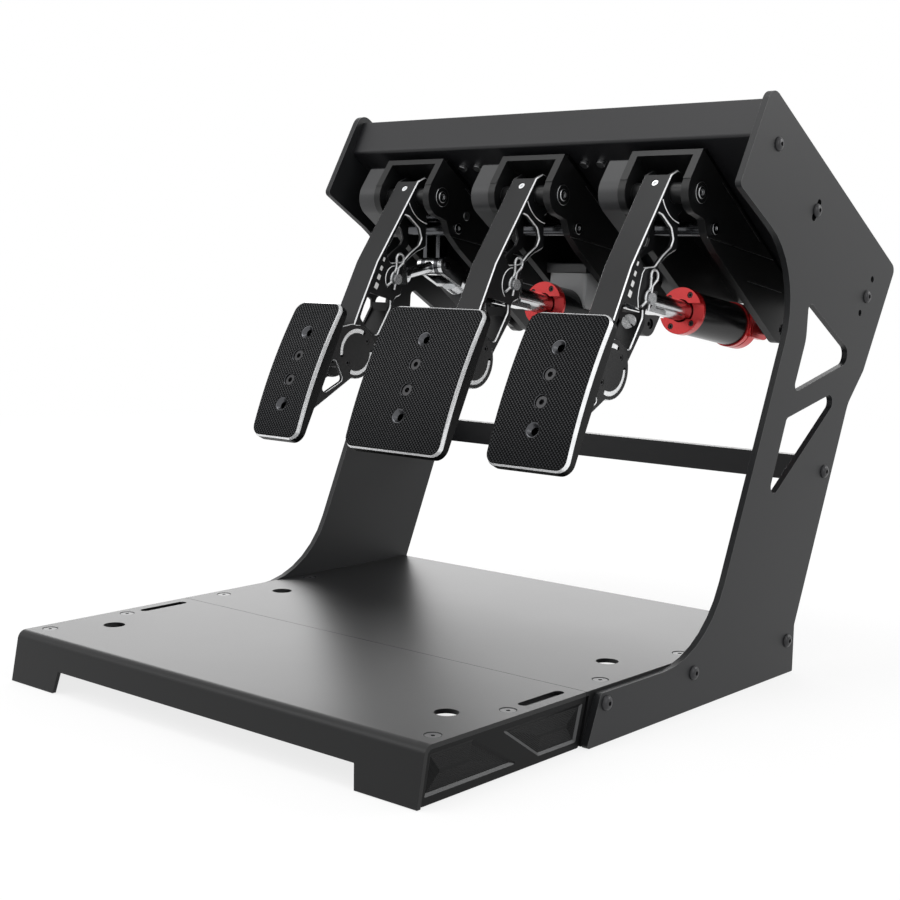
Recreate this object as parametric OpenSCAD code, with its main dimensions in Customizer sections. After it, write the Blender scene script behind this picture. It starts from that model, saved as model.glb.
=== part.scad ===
// Three pedal set for a driving simulator, in millimetres.
// X points to the right, the user sits on the -Y side and Z points up.
// The origin is at the middle of the footprint, on the floor.

/* [Stand] */
// Width over the outer faces of the two side panels
stand_width = 410; // [380:1:480]
// Thickness of a side panel
panel_thickness = 5; // [3:0.5:6]
// Height of the top of the heel plates above the floor
deck_height = 36.5; // [34:0.5:40]
// Thickness of the bent heel plates
sheet = 3; // [2:0.5:3.5]
// Thickness of the carrier beam
carrier_sheet = 4; // [3:0.5:5]
// Height of the bar that ties the panels at the rear
crossbar_height = 20; // [14:1:26]

/* [Pedal modules] */
// Distance from one pedal to the next
pedal_pitch = 125.25; // [120:0.25:140]
// Outer width of a chassis
chassis_width = 61.9; // [60:0.1:64]
// Thickness of the side plates of a chassis
cheek = 6.5; // [5:0.5:7]
// Width of a pedal arm
arm_width = 23.9; // [22:0.1:26]
// Thickness of the walls of an arm
arm_wall = 3; // [2.5:0.1:3.4]
// Sideways offset of an arm from the middle of its chassis
arm_offset = -3.35; // [-4:0.05:-2]
// Diameter of the main pivot shaft
shaft_d = 9; // [7:0.5:10]
// Diameter of the tie bar that stops the arm
tie_bar_d = 11.6; // [9:0.1:11.8]
// Diameter of a clevis pin
pin_d = 8.6; // [6:0.1:9]
// Diameter of the rear pivot pins
rear_pin_d = 8.8; // [7:0.1:9]

/* [Pedal faces] */
// Width of the clutch pad
clutch_pad = 51.5; // [42:0.1:60]
// Width of the brake pad
brake_pad = 96.5; // [60:0.1:104]
// Width of the throttle pad
throttle_pad = 71.5; // [50:0.1:80]
// Length of a pad along its face
pad_length = 118; // [112:1:124]
// Thickness of a pad at its ends
pad_edge = 8; // [7:0.5:9]
// How far the middle of a pad bulges towards the foot
pad_crown = 4.2; // [1:0.1:6]
// Distance between neighbouring holes of a pad
pad_hole_step = 21; // [18:0.5:23]

/* [Cylinders] */
// Outer diameter of the cylinder bodies
cylinder_d = 34; // [30:0.5:35]
// Outer diameter of the end caps and collars
cap_d = 36.4; // [35:0.2:37]
// Thickness of a front cap
cap_length = 7.5; // [6:0.5:9]
// Diameter of the sliding shanks
shank_d = 16; // [12:0.5:16.5]
// Bore of a cylinder body
bore_d = 27; // [25:0.5:28]

/* [Fits] */
// Radial clearance of a running fit
running_fit = 0.05; // [0.02:0.01:0.1]
// Radial clearance of a screw in its hole
screw_fit = 0.15; // [0.1:0.05:0.4]
// Gap beside parts that turn past each other
side_gap = 0.3; // [0.3:0.05:0.6]
// Diameter of the frame screws
frame_screw_d = 5; // [4:0.5:6]

/* [Node] */
// Sub-part to draw

/* [Hidden] */
$fn = 48;
eps = 0.01;

// Order of the three modules from left to right
CLUTCH = 0;
BRAKE = 1;
THROTTLE = 2;

// Half widths of the stand, at the outer and inner faces of the panels
half_width = stand_width / 2;
half_inner = half_width - panel_thickness;

// Places in the Y Z plane, fixed by the shape of the side panels
pivot = [63.1, 364.5];
slope = 35.8;
tie_bar_at = [83.5, 339];
rear_pivot = [193.5, 261.5];
clevis_at = [[31, 295.9], [31.3, 294.2], [32.7, 286.8]];
disc_at = [-16.4, 237];
lever_at = [96, 350];
knuckle_at = [96, 307.8];

// Floor levels of the heel plates
deck_under = deck_height - sheet;
seam_y = -124.4;
front_edge_y = -281.8;
toe_y = -288.5;
rear_edge_y = 139.4;
foot_inner_x = 150;
skirt_clear = 15.5;
deck_hole_d = 16;
deck_hole_x = 164.5;
deck_screw_x = half_inner - 11.4;
deck_screw_y = [-262.6, -191.9, -93.3, 5.1];
deck_slot_x = half_inner - 12.4;
deck_slot_w = 7.5;
deck_slot_y = [-175, -138.5];
deck_screw_d = 4.5;
deck_screw_head_d = 10.4;
deck_countersink_d = deck_screw_head_d + 1.4;
flange_drop = 22;
flange_foot = 1;
panel_base_screws = [[132.5, 26], [-2.3, 26.5], [-109, 26.9]];

// Carrier, in the slope frame of the pivot
chassis_top = 27;
carrier_under = 33.2;
carrier_front = -21.6;
carrier_rear = 190;
carrier_flange_rear = 197;
carrier_lip = [-26.4, 63.6];
carrier_flange_top = carrier_under + 19;
carrier_screw_n = carrier_under + 9.6;
carrier_screw_s = [-0.3, 76.7, 188.2];
tilt_step = 5;
carrier_bolt_s = 2;
carrier_bolt_x = [36.5, 52.5];

// Chassis in the slope frame
chassis_roof = 5;
nose_r = 16.5;
chassis_rear = 174.5;
chassis_low = -20;
gap_half = chassis_width / 2 - cheek;
shaft_r = shaft_d / 2;
bushing_r = shaft_r + 1.5;
bushing_flange_r = 8;
bushing_flange_t = 1.4;
housing_w = 18;

// Arm
arm_half = arm_width / 2;
hub_r = 17.7;
hub_tube_r = 10;
shaft_collar_r = 8;
pin_boss_r = 8.5;
arm_disc_r = 21;
arm_front_points = [[58.8, 377.8], [10, 310.5], [-9.2, 274.5], [-16, 261]];

// Pad bracket and pads, in the pad frame
pad_foot = [-93.7, 171.4];
pad_tilt = 26.36;
pad_mid = 59;
pad_radius = (pow(pad_length / 2, 2) + pow(pad_crown, 2)) / (2 * pad_crown);
pad_corner_r = 9;
pad_shift = -2;
bracket_t = 3;
bracket_plate = 3;
disc_r = 22;
disc_slot_r = 17.2;
disc_slot_w = 3.4;
disc_bolt_offsets = [[12.3, 8.2], [-10.5, -8.5]];
disc_bolt_d = 4.3;
pad_screw_d = 5.2;
pad_screw_head_d = 9.2;
pad_screw_head = 4.6;

// Cylinders, measured along the line from the front pin to the rear pivot
pin_lift = [0, 6.9, 0];
fork_cheek = 4.2;
fork_half = 7.8;
fork_eye_r = 8;
fork_slot = 12;
fork_block = 18;
fork_lip = [3.5, 32];
piston_at = 84;
piston_t = 6;
piston_gap = 0.9;
cap_start = [0, 56.1, 63.7];
collar_back = 24.8;
collar_length = 15.5;
cap_screw_r = 14.3;
cap_screw_angles = [60, -41, -120, 139];
cap_open_r = 8.8;
cap_channel = [12.4, 5];
lug_inner = 12.6;
lug_t = 6;
lug_r = 9;
reservoir_y = [118.5, 166];
reservoir_top = 303.6;
reservoir_lid_t = 8.7;
reservoir_lid_lip = 1.2;
reservoir_gap = 0.9;
reservoir_w = 2 * (gap_half + arm_offset - reservoir_lid_lip - reservoir_gap);

// Clutch linkage
rod_slot = 17;
rod_block = 20;
knuckle_pin_d = 8;
knuckle_play = 0.55;
knuckle_half = 5;
lever_t = 4;
lever_shaft_d = 8;
clutch_cylinder_at = 50;
clutch_piston_at = 66;

function module_x(i) = (i - 1) * pedal_pitch;
function arm_x(i) = module_x(i) + arm_offset;
function unit(v) = v / norm(v);
function direction(a) = [cos(a), sin(a)];

// One corner of an outline rounded with radius r, in steps of about 10 degrees
function corner(a, b, c, r) =
  r <= 0 ? [b] :
  let (u = unit(a - b))
  let (w = unit(c - b))
  let (half = acos(u * w) / 2)
  let (m = b + unit(u + w) * r / sin(half))
  let (p = b + u * r / tan(half))
  let (q = b + w * r / tan(half))
  let (start = atan2(p.y - m.y, p.x - m.x))
  let (turn = (atan2(q.y - m.y, q.x - m.x) - start + 540) % 360 - 180)
  let (n = max(2, ceil(abs(turn) / 10)))
  [for (i = [0:n]) m + r * [cos(start + turn * i / n), sin(start + turn * i / n)]];

// Outline through corners given as [a, b, r]
function rounded(pts) = [
  for (i = [0:len(pts) - 1])
    let (n = len(pts))
    let (a = pts[(i + n - 1) % n])
    let (b = pts[i])
    let (c = pts[(i + 1) % n])
    each corner([a.x, a.y], [b.x, b.y], [c.x, c.y], b.z)
];

// Line of a sheet moved sideways by t, to the left of its direction
function shifted(pts, t) = [
  for (i = [0:len(pts) - 1])
    let (u = i > 0 ? unit(pts[i] - pts[i - 1]) : unit(pts[1] - pts[0]))
    let (w = i < len(pts) - 1 ? unit(pts[i + 1] - pts[i]) : u)
    let (m = unit([-u.y - w.y, u.x + w.x]))
    pts[i] + m * t / (m * [-u.y, u.x])
];

// Outline of a bent sheet from its outer line
function bent_sheet(pts, t) = concat(pts, [for (i = [len(pts) - 1:-1:0]) shifted(pts, t)[i]]);

// Outline of a slot of the given half width along an arc from a to b, with round ends
function arc_slot(centre, r, half, a, b) =
  let (n = ceil((b - a) / 5))
  let (outer = [for (k = [0:n]) centre + (r + half) * direction(a + (b - a) * k / n)])
  let (inner = [for (k = [n:-1:0]) centre + (r - half) * direction(a + (b - a) * k / n)])
  let (end = [for (u = [22.5:22.5:157.5]) centre + r * direction(b) + half * direction(b + u)])
  let (start = [for (u = [202.5:22.5:337.5]) centre + r * direction(a) + half * direction(a + u)])
  concat(outer, end, inner, start);

// Slab whose outline lies in the Y Z plane, from x0 to x0 + t
module slab(x0, t) {
  translate([x0, 0, 0])
    rotate([90, 0, 90])
      linear_extrude(t)
        children();
}

// Round bar along X from x0 to x1, at [y, z]
module bar(x0, x1, at, r) {
  translate([x0, at.x, at.y])
    rotate([0, 90, 0])
      cylinder(h = x1 - x0, r = r);
}

// Frame with Y down the slope of the chassis and Z square to it
module on_slope(x0 = 0) {
  translate([x0, pivot.x, pivot.y])
    rotate([-slope, 0, 0])
      children();
}

// Frame with Y into the pad and Z up along it
module on_pad(x0) {
  translate([x0, pad_foot.x, pad_foot.y])
    rotate([-pad_tilt, 0, 0])
      children();
}

module both_sides() {
  children();
  mirror([1, 0, 0])
    children();
}

// Angle of the line from a to b below the horizontal
function fall(a, b) = atan2(a.y - b.y, b.x - a.x);

// Tilt of a cylinder line, whose pin lies above it by lift
function line_tilt(a, b, lift) = fall(a, b) - asin(lift / norm(b - a));
function line_length(a, b, lift) = sqrt(pow(norm(b - a), 2) - lift * lift);

// Frame with Z along a cylinder line from under the front pin to the rear pivot, Y up
module on_line(i) {
  tilt = line_tilt(clevis_at[i], rear_pivot, pin_lift[i]);
  reach = line_length(clevis_at[i], rear_pivot, pin_lift[i]);
  translate([arm_x(i), rear_pivot.x, rear_pivot.y])
    rotate([-90 - tilt, 0, 0])
      mirror([0, 1, 0])
        translate([0, 0, -reach])
          children();
}

// Ring of thickness h along Z
module ring(h, r_out, r_in) {
  difference() {
    cylinder(h = h, r = r_out);
    translate([0, 0, -1])
      cylinder(h = h + 2, r = r_in);
  }
}

// Stand

module base_front_plate() {
  skirt = [[seam_y - 0.2, deck_height], [front_edge_y, deck_height], [toe_y, 0]];
  inner = shifted(skirt, sheet);
  color("#2b2c2e")
    difference() {
      slab(-half_inner, 2 * half_inner)
        polygon(rounded([
          [skirt[0].x, skirt[0].y, 0], [skirt[1].x, skirt[1].y, 7], [skirt[2].x, 0, 0],
          [inner[2].x + 0.05, 0, 0], [inner[1].x, inner[1].y, 4], [inner[0].x, inner[0].y, 0]
        ]));
      translate([0, toe_y + 20, 0])
        rotate([90, 0, 0])
          linear_extrude(40)
            polygon([
              [-foot_inner_x, -1], [-foot_inner_x + 3, skirt_clear],
              [foot_inner_x - 3, skirt_clear], [foot_inner_x, -1]
            ]);
      both_sides() {
        deck_hole(-222.4);
        deck_screw_hole(deck_screw_y[0]);
        deck_screw_hole(deck_screw_y[1]);
        deck_slot();
      }
    }
}

module deck_hole(y) {
  translate([deck_hole_x, y, deck_under - 1])
    cylinder(h = sheet + 2, d = deck_hole_d);
}

module deck_screw_hole(y) {
  translate([deck_screw_x, y, deck_under - 1])
    cylinder(h = sheet + 2, d = deck_screw_d + 2 * screw_fit);
  translate([deck_screw_x, y, deck_height - 2.4])
    cylinder(h = 2.4 + eps, d1 = deck_screw_d + 1.2, d2 = deck_countersink_d);
}

module deck_slot() {
  for (y = deck_slot_y)
    translate([deck_slot_x, y, deck_under - 1])
      cylinder(h = sheet + 2, d = deck_slot_w);
  translate([deck_slot_x - deck_slot_w / 2, deck_slot_y[0], deck_under - 1])
    cube([deck_slot_w, deck_slot_y[1] - deck_slot_y[0], sheet + 2]);
}

module base_rear_plate() {
  color("#2b2c2e")
    difference() {
      union() {
        translate([-half_inner, seam_y + 0.2, deck_under])
          cube([2 * half_inner, rear_edge_y - seam_y - 0.2, sheet]);
        both_sides()
          slab(half_inner - sheet, sheet)
            polygon([
              [seam_y + 2.6, deck_under + eps], [seam_y - 5.1, flange_foot],
              [rear_edge_y, flange_foot], [rear_edge_y, deck_under + eps]
            ]);
        translate([-half_inner + 15, rear_edge_y - sheet, deck_height - flange_drop])
          cube([2 * half_inner - 30, sheet, flange_drop - sheet + eps]);
      }
      both_sides() {
        deck_hole(-50.6);
        deck_screw_hole(deck_screw_y[2]);
        deck_screw_hole(deck_screw_y[3]);
        for (at = panel_base_screws)
          bar(half_inner - sheet - 1, half_inner + 1, at, frame_screw_d / 2 + screw_fit);
      }
    }
}

// Moulded end under the front plate
module base_cap(side) {
  outer = half_inner - 1;
  wall = 7;
  color("#1d1e20")
    mirror([side < 0 ? 1 : 0, 0, 0])
      difference() {
        union() {
          slab(outer - wall, wall)
            polygon(rounded([
              [-284.9, 0.5, 1.5], [-279.2, deck_under, 4.6], [-123, deck_under, 2], [-131.3, 0.5, 1.5]
            ]));
          translate([outer - 20, -275, deck_under - 8])
            cube([20 - wall + eps, 91, 8]);
        }
        slab(outer - 1.4, 2)
          polygon(rounded([[-276.5, 30.4, 1], [-237.7, 30.4, 1], [-195, 5.5, 1], [-281.4, 5.5, 1]]));
        slab(outer - 1.4, 2)
          polygon(rounded([[-211, 29.5, 1], [-127.4, 29.5, 1], [-134.6, 4.8, 1], [-173.7, 5, 1]]));
        for (y = [deck_screw_y[0], deck_screw_y[1]])
          translate([deck_screw_x, y, deck_under - 9])
            cylinder(h = 10, d = deck_screw_d);
      }
}

// Steel bars under both plates, which the front plate can slide along
module base_rails() {
  color("#3a3b3d")
    both_sides()
      difference() {
        translate([deck_screw_x - 9, -182, deck_under - 6])
          cube([12, 204, 6]);
        for (y = [deck_screw_y[2], deck_screw_y[3]])
          translate([deck_screw_x, y, deck_under - 7])
            cylinder(h = 8, d = deck_screw_d);
        for (y = deck_slot_y)
          translate([deck_slot_x, y, deck_under - 7])
            cylinder(h = 8, d = 5);
      }
}

panel_outline = [
  [-130, 0, 2], [143.3, 0, 1], [143.5, 36.6, 6], [217, 204.4, 25], [241.5, 229.4, 3],
  [290.9, 312.2, 6.4], [76.5, 440.7, 11], [35.8, 368.2, 4], [133.5, 310.1, 67],
  [14.2, 34.5, 84], [-115.2, 34.5, 1.5]
];
panel_windows = [
  [[144.4, 287.4, 5], [225.4, 240.2, 8], [125, 217, 4.5], [142.6, 257.5, 30]],
  [[210.6, 218.5, 5.9], [117.6, 199, 4.5], [90.3, 133.1, 5.7]]
];
carrier_screws = [for (s = carrier_screw_s) on_slope_point(s, carrier_screw_n)];
crossbar_screw = [181, 153];
crossbar_rise = 1.3;
panel_screw_length = 12;
crossbar_screw_length = 24;

function on_slope_point(s, n) = [
  pivot.x + s * cos(slope) + n * sin(slope),
  pivot.y - s * sin(slope) + n * cos(slope)
];

function turned(p, centre, a) = centre + [
  (p.x - centre.x) * cos(a) - (p.y - centre.y) * sin(a),
  (p.x - centre.x) * sin(a) + (p.y - centre.y) * cos(a)
];

// Slot along an arc about the front carrier screw
module tilt_slot() {
  r = norm(carrier_screws[1] - carrier_screws[0]);
  a = -fall(carrier_screws[0], carrier_screws[1]);
  slab(half_inner - 1, panel_thickness + 2)
    polygon(arc_slot(carrier_screws[0], r, frame_screw_d / 2 + 0.5, a - tilt_step, a + tilt_step));
}

module side_panel() {
  color("#232426")
    difference() {
      slab(half_inner, panel_thickness)
        polygon(rounded(panel_outline));
      for (w = panel_windows)
        slab(half_inner - 1, panel_thickness + 2)
          polygon(rounded(w));
      tilt_slot();
      for (at = concat(panel_base_screws, [carrier_screws[0], carrier_screws[2], crossbar_screw]))
        bar(half_inner - 1, half_width + 1, at, frame_screw_d / 2 + screw_fit);
      for (k = [-tilt_step, tilt_step])
        bar(half_inner - 1, half_width + 1, turned(carrier_screws[2], carrier_screws[0], k),
          frame_screw_d / 2 + screw_fit);
    }
}

module rear_crossbar() {
  color("#26272a")
    difference() {
      translate([-half_inner, crossbar_screw.x - 4.5, crossbar_screw.y + crossbar_rise - crossbar_height / 2])
        cube([2 * half_inner, 9, crossbar_height]);
      both_sides()
        bar(half_inner - crossbar_screw_length, half_inner + 1, crossbar_screw, frame_screw_d / 2 + screw_fit);
    }
}

module carrier_beam() {
  line = [carrier_lip, [carrier_front, carrier_under], [carrier_rear, carrier_under]];
  inner = shifted(line, carrier_sheet);
  color("#2a2b2d")
    difference() {
      union() {
        on_slope()
          slab(-half_inner, 2 * half_inner)
            polygon(rounded([
              [line[0].x, line[0].y, 1], [line[1].x, line[1].y, 3], [line[2].x, line[2].y, 0],
              [inner[2].x, inner[2].y, 0], [inner[1].x, inner[1].y, 1], [inner[0].x, inner[0].y, 1]
            ]));
        on_slope()
          both_sides()
            translate([half_inner - carrier_sheet, carrier_front + 9, carrier_under + eps])
              cube([carrier_sheet, carrier_flange_rear - carrier_front - 9, carrier_flange_top - carrier_under]);
      }
      both_sides()
        for (at = carrier_screws)
          bar(half_inner - carrier_sheet - 1, half_inner + 1, at, frame_screw_d / 2 + screw_fit);
      on_slope()
        carrier_bolt_places()
          translate([0, 0, carrier_under - 1])
            cylinder(h = carrier_sheet + 2, r = 2 + screw_fit);
      on_slope()
        chassis_bolt_places()
          translate([0, 0, carrier_under - 1])
            cylinder(h = carrier_sheet + 2, r = 3 + screw_fit);
    }
}

module carrier_bolt_places() {
  for (i = [CLUTCH, BRAKE])
    for (x = carrier_bolt_x)
      translate([module_x(i) + x, carrier_bolt_s, 0])
        children();
}

module chassis_bolt_places() {
  for (i = [CLUTCH:THROTTLE])
    for (x = [-14, 14])
      for (s = [28, 140])
        translate([module_x(i) + x, s, 0])
          children();
}

// Button head screw along X, its head outside the face at x = 0
module button_screw(length) {
  rotate([0, 90, 0])
    difference() {
      union() {
        translate([0, 0, -length])
          cylinder(h = length + 1, d = frame_screw_d);
        rotate_extrude()
          polygon([[0, 0], [5.25, 0], [5.25, 0.6], [4.7, 1.6], [3.6, 2.4], [2.2, 2.8], [0, 2.8]]);
      }
      translate([0, 0, 1.2])
        cylinder(h = 3, r = 1.7, $fn = 6);
    }
}

// Countersunk screw from the deck downwards
module deck_screw(length) {
  difference() {
    union() {
      translate([0, 0, -2.4])
        cylinder(h = 2.1, d1 = deck_screw_d, d2 = deck_screw_head_d);
      translate([0, 0, -length])
        cylinder(h = length - 2, d = deck_screw_d - 0.1);
    }
    translate([0, 0, -1.8])
      cylinder(h = 3, r = 1.6, $fn = 6);
  }
}

module frame_screws() {
  color("#3c3d40")
    both_sides() {
      for (at = concat(panel_base_screws, carrier_screws, [crossbar_screw]))
        translate([half_width, at.x, at.y])
          button_screw(at == crossbar_screw ? crossbar_screw_length : panel_screw_length);
      for (y = deck_screw_y)
        translate([deck_screw_x, y, deck_height])
          deck_screw(8.4);
    }
}

module carrier_bolts() {
  color("#4a4b4e") {
    on_slope()
      carrier_bolt_places() {
        translate([0, 0, carrier_under - 2.6])
          cylinder(h = 2.6, r = 3.6);
        translate([0, 0, carrier_under - eps])
          cylinder(h = carrier_sheet + 2, r = 2);
        translate([0, 0, carrier_under + carrier_sheet])
          cylinder(h = 3, r = 4, $fn = 6);
      }
    on_slope()
      chassis_bolt_places() {
        translate([0, 0, carrier_under + carrier_sheet])
          cylinder(h = 4, r = 5);
        translate([0, 0, chassis_top - chassis_roof])
          cylinder(h = carrier_under + carrier_sheet - chassis_top + chassis_roof + 1, r = 3);
      }
  }
}

module spacer_rails() {
  color("#1e1f21")
    on_slope()
      for (i = [CLUTCH:THROTTLE])
        difference() {
          translate([module_x(i) - chassis_width / 2 - 2, -9, chassis_top])
            cube([chassis_width - 1, chassis_rear - 2.5, carrier_under - chassis_top]);
          for (x = [-14, 14])
            for (s = [28, 140])
              translate([module_x(i) + x, s, chassis_top - 1])
                cylinder(h = 9, r = 3 + screw_fit);
        }
}

// Chassis and what is fixed to it

module cheek_outline() {
  nose = [for (a = [180:15:300]) nose_r * [cos(a), sin(a)]];
  rest = rounded([
    [17, -11.8, 5], [27, -18, 7], [46, chassis_low, 10], [chassis_rear, chassis_low, 12],
    [chassis_rear, chassis_top, 4], [-nose_r - 0.5, chassis_top, 1.5], [-nose_r - 0.5, 0, 0]
  ]);
  polygon(concat(nose, rest));
}

module chassis(i) {
  x0 = module_x(i) - chassis_width / 2;
  grooves = [
    [[93.6, 372.9], [153.6, 330]], [[75.7, 332], [175.7, 316.4]], [[135.7, 300], [191.4, 290.7]]
  ];
  color("#252628")
    difference() {
      union() {
        on_slope()
          for (x = [x0, x0 + chassis_width - cheek])
            slab(x, cheek)
              cheek_outline();
        on_slope()
          translate([x0, -nose_r - 0.5, chassis_top - chassis_roof])
            cube([chassis_width, chassis_rear + nose_r - 3, chassis_roof]);
      }
      bar(x0 - 1, x0 + chassis_width + 1, pivot, bushing_r + running_fit);
      bar(x0 - 1, x0 + chassis_width + 1, rear_pivot, rear_pin_d / 2 + running_fit);
      bar(x0 - 1, x0 + chassis_width + 1, tie_bar_at, 2.5 + screw_fit);
      if (i == CLUTCH)
        bar(x0 - 1, x0 + chassis_width + 1, lever_at, lever_shaft_d / 2 + running_fit);
      on_slope(module_x(i))
        for (x = [-14, 14])
          for (s = [28, 140])
            translate([x, s, chassis_top - chassis_roof - 1])
              cylinder(h = chassis_roof + 2, r = 3 + screw_fit);
      for (g = grooves)
        groove(x0 + chassis_width - 0.4, g[0], g[1]);
    }
}

module groove(x, a, b) {
  translate([x, a.x, a.y])
    rotate([-fall(a, b), 0, 0])
      cube([2, norm(b - a), 0.7]);
}

module sensor_housing(i) {
  x1 = module_x(i) - chassis_width / 2;
  nose = [for (a = [180:15:270]) (nose_r - 0.4) * [cos(a), sin(a)]];
  rest = rounded([
    [34, -nose_r + 0.4, 4], [42, -8, 4], [42, 21.2, 3], [-nose_r + 0.4, 21.2, 3],
    [-nose_r + 0.4, 0, 0]
  ]);
  color("#b9bbbd")
    difference() {
      on_slope()
        slab(x1 - housing_w, housing_w)
          polygon(concat(nose, rest));
      bar(x1 - 3, x1 + 1, pivot, bushing_flange_r + 0.3);
      bar(x1 - 3, x1 + 1, tie_bar_at, 5);
    }
}

// Shaft with its flanged bushings and the collars that centre the arm
module pivot_shaft(i) {
  x0 = module_x(i) - chassis_width / 2;
  x1 = x0 + chassis_width;
  arm_l = arm_x(i) - arm_half - side_gap;
  arm_r = arm_x(i) + arm_half + side_gap;
  color("#9a9c9f")
    difference() {
      union() {
        bar(x0 - 2, x1 + 2, pivot, shaft_r);
        bar(x0 - bushing_flange_t, x0, pivot, bushing_flange_r);
        bar(x0 - bushing_flange_t, x0 + cheek, pivot, bushing_r);
        bar(x0 + cheek, arm_l, pivot, shaft_collar_r);
        bar(arm_r, x1 - cheek, pivot, shaft_collar_r);
        bar(x1 - cheek, x1 + bushing_flange_t, pivot, bushing_r);
        bar(x1, x1 + bushing_flange_t, pivot, bushing_flange_r);
      }
      translate([x1 + 0.4, pivot.x, pivot.y])
        rotate([0, 90, 0])
          cylinder(h = 2, r = 2.4, $fn = 6);
    }
}

module tie_bar(i) {
  x0 = module_x(i) - chassis_width / 2;
  x1 = x0 + chassis_width;
  color("#8d9093") {
    bar(module_x(i) - gap_half, module_x(i) + gap_half, tie_bar_at, tie_bar_d / 2);
    difference() {
      union() {
        bar(x0 - 2.4, x1 + 2.4, tie_bar_at, 2.5);
        bar(x0 - 2.4, x0, tie_bar_at, 4.6);
        bar(x1, x1 + 2.4, tie_bar_at, 4.6);
      }
      for (x = [x0 - 3, x1 + 1.2])
        translate([x, tie_bar_at.x, tie_bar_at.y])
          rotate([0, 90, 0])
            cylinder(h = 1.8, r = 1.7, $fn = 6);
    }
  }
}

module rear_pin(i) {
  x0 = module_x(i) - chassis_width / 2;
  color("#2c2d30")
    difference() {
      bar(x0 + 1.5, x0 + chassis_width - 1.5, rear_pivot, rear_pin_d / 2);
      for (x = [x0, x0 + chassis_width - 4.5])
        translate([x, rear_pivot.x, rear_pivot.y])
          rotate([0, 90, 0])
            cylinder(h = 4.5, r = 2.2, $fn = 6);
    }
}

// Pedal arm with the pad

arm_rear_points = [
  [-19, 252, 0], [-2, 228, 0], [9.2, 240.8, 8], [29.8, 267, 6], [30.5, 280, 6], [40.5, 283, 5],
  [41.5, 303, 8], [45.5, 310.8, 8], [57, 318.3, 30], [70.5, 323.2, 4], [70.5, 347, 0]
];
arm_upper_window = [
  [20.5, 318.5, 2], [43.3, 349.5, 1.5], [48.5, 348, 4], [61.4, 338.6, 4], [64.4, 330.5, 3],
  [61.2, 324.8, 3], [50.5, 318.5, 30], [40.5, 310.3, 5], [26, 309.5, 3]
];
arm_lower_window = [
  [0.7, 285.2, 3], [26.2, 279.5, 2.5], [26.2, 272.9, 6], [10.3, 249.4, 3.5], [-1.5, 255.7, 12],
  [-9.9, 264.6, 3], [-5.6, 274, 20]
];

module arm_side_outline() {
  front = [for (p = arm_front_points) [p.x, p.y, 0]];
  hub = [for (a = [-65:10:75]) [each (pivot + hub_r * direction(a)), 0]];
  polygon(rounded(concat(front, arm_rear_points, hub)));
}

module arm_front_wall() {
  line = concat(arm_front_points, [[-17.6, 256.5]]);
  polygon(bent_sheet(line, arm_wall));
}

module arm(i) {
  ax = arm_x(i);
  color("#303134")
    difference() {
      union() {
        for (x = [ax - arm_half, ax + arm_half - arm_wall]) {
          slab(x, arm_wall)
            arm_side_outline();
          bar(x, x + arm_wall, clevis_at[i], pin_boss_r);
          bar(x, x + arm_wall, disc_at, arm_disc_r);
        }
        slab(ax - arm_half, arm_width)
          arm_front_wall();
        slab(ax - arm_half, arm_width)
          polygon(bent_sheet([[29.4, 276.5], [29.2, 268.4], [9.9, 243.4]], -arm_wall));
        bar(ax - arm_half, ax + arm_half, pivot, hub_tube_r);
        for (d = disc_bolt_offsets)
          bar(ax - arm_half, ax + arm_half, disc_at + d, 4.5);
      }
      bar(ax - arm_half - 1, ax + arm_half + 1, pivot, shaft_r + running_fit);
      bar(ax - arm_half - 1, ax + arm_half + 1, clevis_at[i], pin_d / 2 + running_fit);
      for (d = disc_bolt_offsets)
        bar(ax - arm_half - 1, ax + arm_half + 1, disc_at + d, disc_bolt_d / 2 + screw_fit);
      slab(ax - arm_half - 1, arm_width + 2)
        polygon(rounded(arm_upper_window));
      slab(ax - arm_half - 1, arm_width + 2)
        polygon(rounded(arm_lower_window));
      arm_lock_screw_hole(ax);
      if (i != BRAKE)
        for (k = [0:3])
          arm_index_mark(ax, k);
    }
}

// Hole of the screw that locks the arm on its hub
module arm_lock_screw_hole(ax) {
  at = arm_front_points[0] + 7 * unit(arm_front_points[1] - arm_front_points[0]);
  run = arm_front_points[1] - arm_front_points[0];
  translate([ax, at.x, at.y])
    rotate([atan2(-run.y, -run.x), 0, 0])
      translate([0, 0, -5])
        cylinder(h = 7, r = 3);
}

// Shallow square marks on the right side, which get smaller upwards
module arm_index_mark(ax, k) {
  at = [9.3, 290.5] + k * [2.95, 7.25];
  w = 4.6 - k * 0.65;
  h = 5.8 - k * 0.6;
  translate([ax + arm_half - 0.4, at.x, at.y])
    rotate([-29, 0, 0])
      translate([0, -w / 2, -h / 2])
        cube([2, w, h]);
}

bracket_outline = concat(
  [[pad_edge, 14, 0], [pad_edge, 99, 0], [26, 112, 12]],
  [for (a = [118:-7.6:-79.6]) [each (in_pad(disc_at) + disc_r * direction(a)), 0]],
  [[16.5, 33, 5], [14.6, 14, 2]]
);
bracket_window = [[17.5, 79.5, 3], [36, 66.5, 3], [17.5, 44, 3]];

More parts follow.
